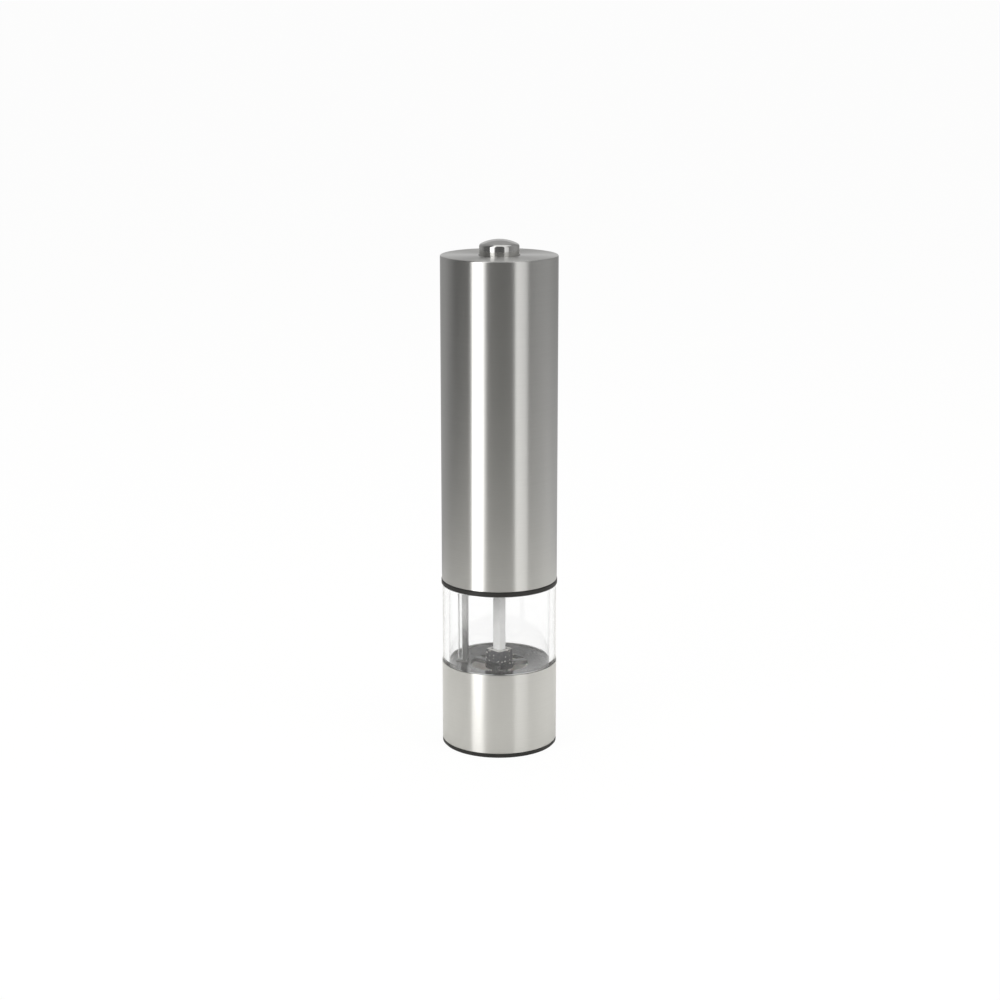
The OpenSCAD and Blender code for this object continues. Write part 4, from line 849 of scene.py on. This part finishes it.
def build_hub(finish):
    """Square hub, corner on like the shaft, with rounded corners, an eased and sunk top and a round journal."""
    low, high = sizes("feed_hub")
    top, foot = high[2], low[2]
    flats, hub_z, journal_r, overlap = 8.6, 36.8, 3.7, 0.3
    hub = square_bar(flats, hub_z, top, 0.7, 5)
    select_edges(hub, lambda a, b: min(a.z, b.z) > (top - 0.01) * MM)
    bpy.ops.mesh.bevel(offset=0.3 * MM, segments=3, affect="EDGES")
    select_top(hub, (top - 0.01) * MM)
    bpy.ops.mesh.inset(thickness=1.35 * MM, depth=0)
    bpy.ops.mesh.extrude_region_move(TRANSFORM_OT_translate={"value": (0, 0, -0.15 * MM)})
    bpy.ops.object.mode_set(mode="OBJECT")
    journal = turned([(0, foot), (journal_r - 0.2, foot), (journal_r, foot + 0.2),
                      (journal_r, hub_z + overlap), (0, hub_z + overlap)], 64)
    return settle(joined(hub, journal), "dust_and_sheen_hub", finish, "shaft", ["feed_hub"], angle=40)


def flat_strip(inner, outer, half, foot, flare_z, top, lean_in, lean_out):
    """A flat upright strip at its distance from the axis, whose sides lean outwards above flare_z."""
    width, middle = (outer - inner) * MM, (inner + outer) / 2 * MM
    deselect()
    bpy.ops.mesh.primitive_cube_add(size=1, location=(0, 0, 0))
    strip = bpy.context.object
    bpy.ops.object.mode_set(mode="EDIT")
    bpy.ops.mesh.select_all(action="SELECT")
    bpy.ops.transform.resize(value=(width, 2 * half * MM, (flare_z - foot) * MM), center_override=(0, 0, 0))
    bpy.ops.transform.translate(value=(middle, 0, (foot + flare_z) / 2 * MM))
    bpy.ops.object.mode_set(mode="OBJECT")
    for share in (0.35, 0.35, 0.3):
        select_top(strip, max(v.co.z for v in strip.data.vertices) - 1e-6)
        bpy.ops.mesh.extrude_region_move(TRANSFORM_OT_translate={"value": (0, 0, share * (top - flare_z) * MM)})
        bpy.ops.object.mode_set(mode="OBJECT")
        level = max(v.co.z for v in strip.data.vertices)
        for v in strip.data.vertices:
            if v.co.z > level - 1e-6:
                v.co.x += share * (lean_out if v.co.x > middle else lean_in) * MM
    return strip


def build_conduit(plastic, clear, pale):
    """Flat tube down the chamber wall with its bore, and a clear web and a rail beside it; tube and rail part
    like a fork at the top."""
    turn = math.radians(175)    # from the right round to the back left
    inner, split, rail, outer, half = 13.8, 16.15, 17.75, 18.2, 2.0
    low, high = sizes("lamp_conduit")
    foot, top = low[2], high[2]
    flare_z, web_foot, web_top = top - 6.5, 37.0, top - 4.5
    bore_wall, bore_depth = 0.5, 4
    web = flat_strip(split - 0.1, rail + 0.1, 0.35, web_foot, flare_z, web_top, 0, 0)
    edge = flat_strip(rail, outer, 0.8, web_foot, flare_z, top, 1.0, 1.0)
    tube = flat_strip(inner, split, half, foot, flare_z, top, 0, 1.2)
    pick(tube)
    select_top(tube, (top - 0.01) * MM)
    bpy.ops.mesh.inset(thickness=bore_wall * MM, depth=0)
    bpy.ops.mesh.extrude_region_move(TRANSFORM_OT_translate={"value": (0, 0, -bore_depth * MM)})
    select_edges(tube, lambda a, b: abs(a.z - b.z) > 0.5 * MM and abs(abs(a.y) - half * MM) < 1e-6)
    bpy.ops.mesh.bevel(offset=0.3 * MM, segments=3, affect="EDGES")
    bpy.ops.object.mode_set(mode="OBJECT")
    pick(edge)
    bpy.ops.object.mode_set(mode="EDIT")
    select_edges(edge, lambda a, b: abs(a.z - b.z) > 0.5 * MM)
    bpy.ops.mesh.bevel(offset=0.15 * MM, segments=3, affect="EDGES")
    bpy.ops.object.mode_set(mode="OBJECT")
    for piece in (tube, web, edge):
        pick(piece)
        bpy.ops.object.mode_set(mode="EDIT")
        bpy.ops.mesh.select_all(action="SELECT")
        bpy.ops.transform.rotate(value=-turn, orient_axis="Z", center_override=(0, 0, 0))
        face_outwards()
    settle(tube, "wire_conduit", plastic, "base", ["lamp_conduit"], angle=40)
    settle(web, "conduit_web", clear, "base", angle=40)
    settle(edge, "conduit_rail", pale, "base", angle=40)


def wound_coil(node, wire_r, turns, name, body, metal):
    """One wound wire with capped ends, from the bottom to the top of the spring's place."""
    low, high = sizes(node)
    coil_r = high[0] - wire_r
    rise = high[2] - low[2] - 2 * wire_r
    deselect()
    bpy.ops.mesh.primitive_circle_add(vertices=14, radius=wire_r * MM, rotation=(math.radians(90), 0, 0),
                                      location=(coil_r * MM, 0, (low[2] + wire_r) * MM))
    coil = bpy.context.object
    bpy.ops.object.transform_apply(location=True, rotation=True, scale=True)
    winding = coil.modifiers.new("winding", "SCREW")
    winding.axis = "Z"
    winding.angle = 2 * math.pi
    winding.screw_offset = rise / turns * MM
    winding.iterations = turns
    winding.steps = 40
    winding.render_steps = 40
    bpy.ops.object.modifier_apply(modifier="winding")
    bpy.ops.object.mode_set(mode="EDIT")
    bpy.ops.mesh.select_all(action="SELECT")
    bpy.ops.mesh.fill_holes(sides=0)
    face_outwards()
    return settle(coil, name, metal, body, [node], angle=50)


def build_spring(node, wire_r, turns, name, body, metal):
    """A wound spring with a mesh of its own."""
    coil = wound_coil(node, wire_r, turns, name, body, metal)
    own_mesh(coil)


# darkest and lightest colour, lowest and highest roughness, grain in mm, its depth in mm and its strength
MOULDED = {
    "black_satin": ((0.013, 0.013, 0.012), (0.021, 0.020, 0.018), 0.40, 0.55, 0.3, 0.02, 0.25, 0.36),
    "black_gloss": ((0.020, 0.020, 0.020), (0.030, 0.030, 0.030), 0.18, 0.3, 0.4, 0.01, 0.1),
    "grey_housing": ((0.070, 0.072, 0.076), (0.095, 0.097, 0.102), 0.42, 0.58, 0.3, 0.03, 0.3),
    "nylon": ((0.74, 0.72, 0.64), (0.82, 0.80, 0.73), 0.4, 0.55, 0.5, 0.02, 0.2),
    "white_housing": ((0.72, 0.72, 0.70), (0.80, 0.80, 0.78), 0.42, 0.56, 0.35, 0.02, 0.25),
    "rubber": ((0.014, 0.014, 0.014), (0.024, 0.023, 0.022), 0.6, 0.8, 0.2, 0.03, 0.35),
    "ferrite": ((0.035, 0.034, 0.034), (0.06, 0.058, 0.056), 0.6, 0.75, 0.25, 0.03, 0.4),
    "carbon": ((0.02, 0.02, 0.021), (0.045, 0.045, 0.047), 0.45, 0.65, 0.12, 0.02, 0.4),
    "wire_sheath": ((0.26, 0.012, 0.010), (0.36, 0.02, 0.015), 0.3, 0.45, 0.6, 0.01, 0.1),
    "pale_sheath": ((0.56, 0.56, 0.55), (0.66, 0.66, 0.65), 0.3, 0.45, 0.6, 0.01, 0.1),
    "pale_rail": ((0.60, 0.60, 0.59), (0.70, 0.70, 0.69), 0.28, 0.4, 0.5, 0.01, 0.12),
}

# darkest and lightest colour, lowest and highest roughness
MACHINED = {
    "zinc_plate": ((0.52, 0.53, 0.55), (0.68, 0.69, 0.70), 0.22, 0.38),
    "spring_wire": ((0.42, 0.42, 0.43), (0.60, 0.60, 0.61), 0.2, 0.34),
    "bronze": ((0.36, 0.22, 0.11), (0.52, 0.33, 0.17), 0.4, 0.6),
    "brass": ((0.56, 0.40, 0.16), (0.74, 0.56, 0.27), 0.24, 0.38),
    "motor_can": ((0.48, 0.49, 0.50), (0.62, 0.63, 0.64), 0.24, 0.36),
}

FINISHES = {
    "brushed_steel": brushed_steel(),
    "polished_steel": polished_steel(),
    # floor: painted light on the walls of its openings; hub: a pale film on its top that is dust and painted
    # highlight
    "floor_moulding": dust_and_painted_light_moulding("floor_moulding", (0.018, 0.018, 0.018), (0.034, 0.034, 0.033), 0.10, 0.20,
                                      grain_mm=2.2, dust_share=0.06, settled_dust_and_sheen=0.02, side_painted_light=0.22),
    "hub_moulding": dust_and_painted_light_moulding("hub_moulding", (0.040, 0.040, 0.043), (0.070, 0.070, 0.073), 0.25, 0.4,
                                    grain_mm=1.5, dust_share=0.15, settled_dust_and_sheen=0.8),
    "clear_acrylic": clear_acrylic(),
    "frosted_tube": frosted_tube(),
    "pale_web": pale_web(),
    "ceramic": ceramic(),
    "shaft_metal": machined("shaft_metal", (0.70, 0.70, 0.69), (0.75, 0.75, 0.74), 0.36, 0.48,
                            pitch_mm=0.3, metallic=0.06, strength=0.1),
    "copper_winding": copper_winding(),
    "iron_stack": iron_stack(),
    "cell_sleeve": cell_sleeve(),
    "lamp_lens": lamp_lens(),
}
FINISHES.update({name: moulded(name, *row) for name, row in MOULDED.items()})
FINISHES.update({name: machined(name, *row) for name, row in MACHINED.items()})

NODE_FINISH = {
    "foot_ring": "black_satin", "base_core": "black_satin", "collar": "black_satin",
    "grinder_floor": "floor_moulding", "feed_hub": "hub_moulding", "burr_retainer": "black_satin",
    "outer_burr": "ceramic", "inner_burr": "ceramic", "retainer_screws": "zinc_plate", "gearbox_screws": "zinc_plate",
    "unit_screws": "zinc_plate", "lamp_conduit": "frosted_tube", "lamp_wires": "pale_sheath",
    "unit_wires": "wire_sheath", "lamp_contacts": "brass", "lamp_pins": "brass", "lamp": "lamp_lens",
    "lamp_holder": "black_satin", "drive_shaft": "shaft_metal", "burr_spring": "spring_wire",
    "thrust_washer": "zinc_plate", "adjust_knob": "black_satin", "rim_seal": "rubber", "cover_seal": "rubber",
    "plain_bushes": "bronze", "gearbox_ring": "white_housing", "motor_plate": "zinc_plate",
    "motor_housing": "grey_housing", "motor_can": "motor_can", "motor_magnets": "ferrite",
    "motor_end_cap": "black_gloss", "motor_brushes": "carbon", "motor_terminals": "brass",
    "battery_tray": "grey_housing", "battery_cells": "cell_sleeve", "battery_contacts": "zinc_plate",
    "battery_springs": "spring_wire", "switch_base": "black_gloss", "switch_contact": "brass",
    "switch_leaf": "brass", "motor_shaft": "zinc_plate", "armature_core": "iron_stack",
    "armature_windings": "copper_winding", "commutator": "brass", "motor_pinion": "brass",
    "carrier_1": "nylon", "carrier_2": "zinc_plate", "planet_1a": "nylon", "planet_1b": "nylon", "planet_1c": "nylon",
    "planet_2a": "nylon", "planet_2b": "nylon", "planet_2c": "nylon", "button_guide": "grey_housing",
    "button_stem": "grey_housing", "button_spring": "spring_wire",
    "cover_tube": "brushed_steel", "base_sleeve": "brushed_steel", "push_button": "polished_steel",
    "pepper_chamber": "clear_acrylic",
}

for node, finish in NODE_FINISH.items():
    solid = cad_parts[node]
    solid.data.materials.clear()
    solid.data.materials.append(FINISHES[finish])

build_camera()
build_studio()
build_cover(FINISHES["brushed_steel"])
build_sleeve(FINISHES["brushed_steel"])
build_button(FINISHES["polished_steel"])
build_chamber(FINISHES["clear_acrylic"])
build_shaft(FINISHES["shaft_metal"])
build_hub(FINISHES["hub_moulding"])
build_conduit(FINISHES["frosted_tube"], FINISHES["pale_web"], FINISHES["pale_rail"])
return_wire_r = sizes("button_spring")[1][0] - 4.4
build_spring("button_spring", return_wire_r, 4, "return_coil", "cover", FINISHES["spring_wire"])
build_spring("burr_spring", 0.25, 3, "burr_coil", "shaft", FINISHES["spring_wire"])

bpy.context.scene.view_settings.view_transform = "Standard"
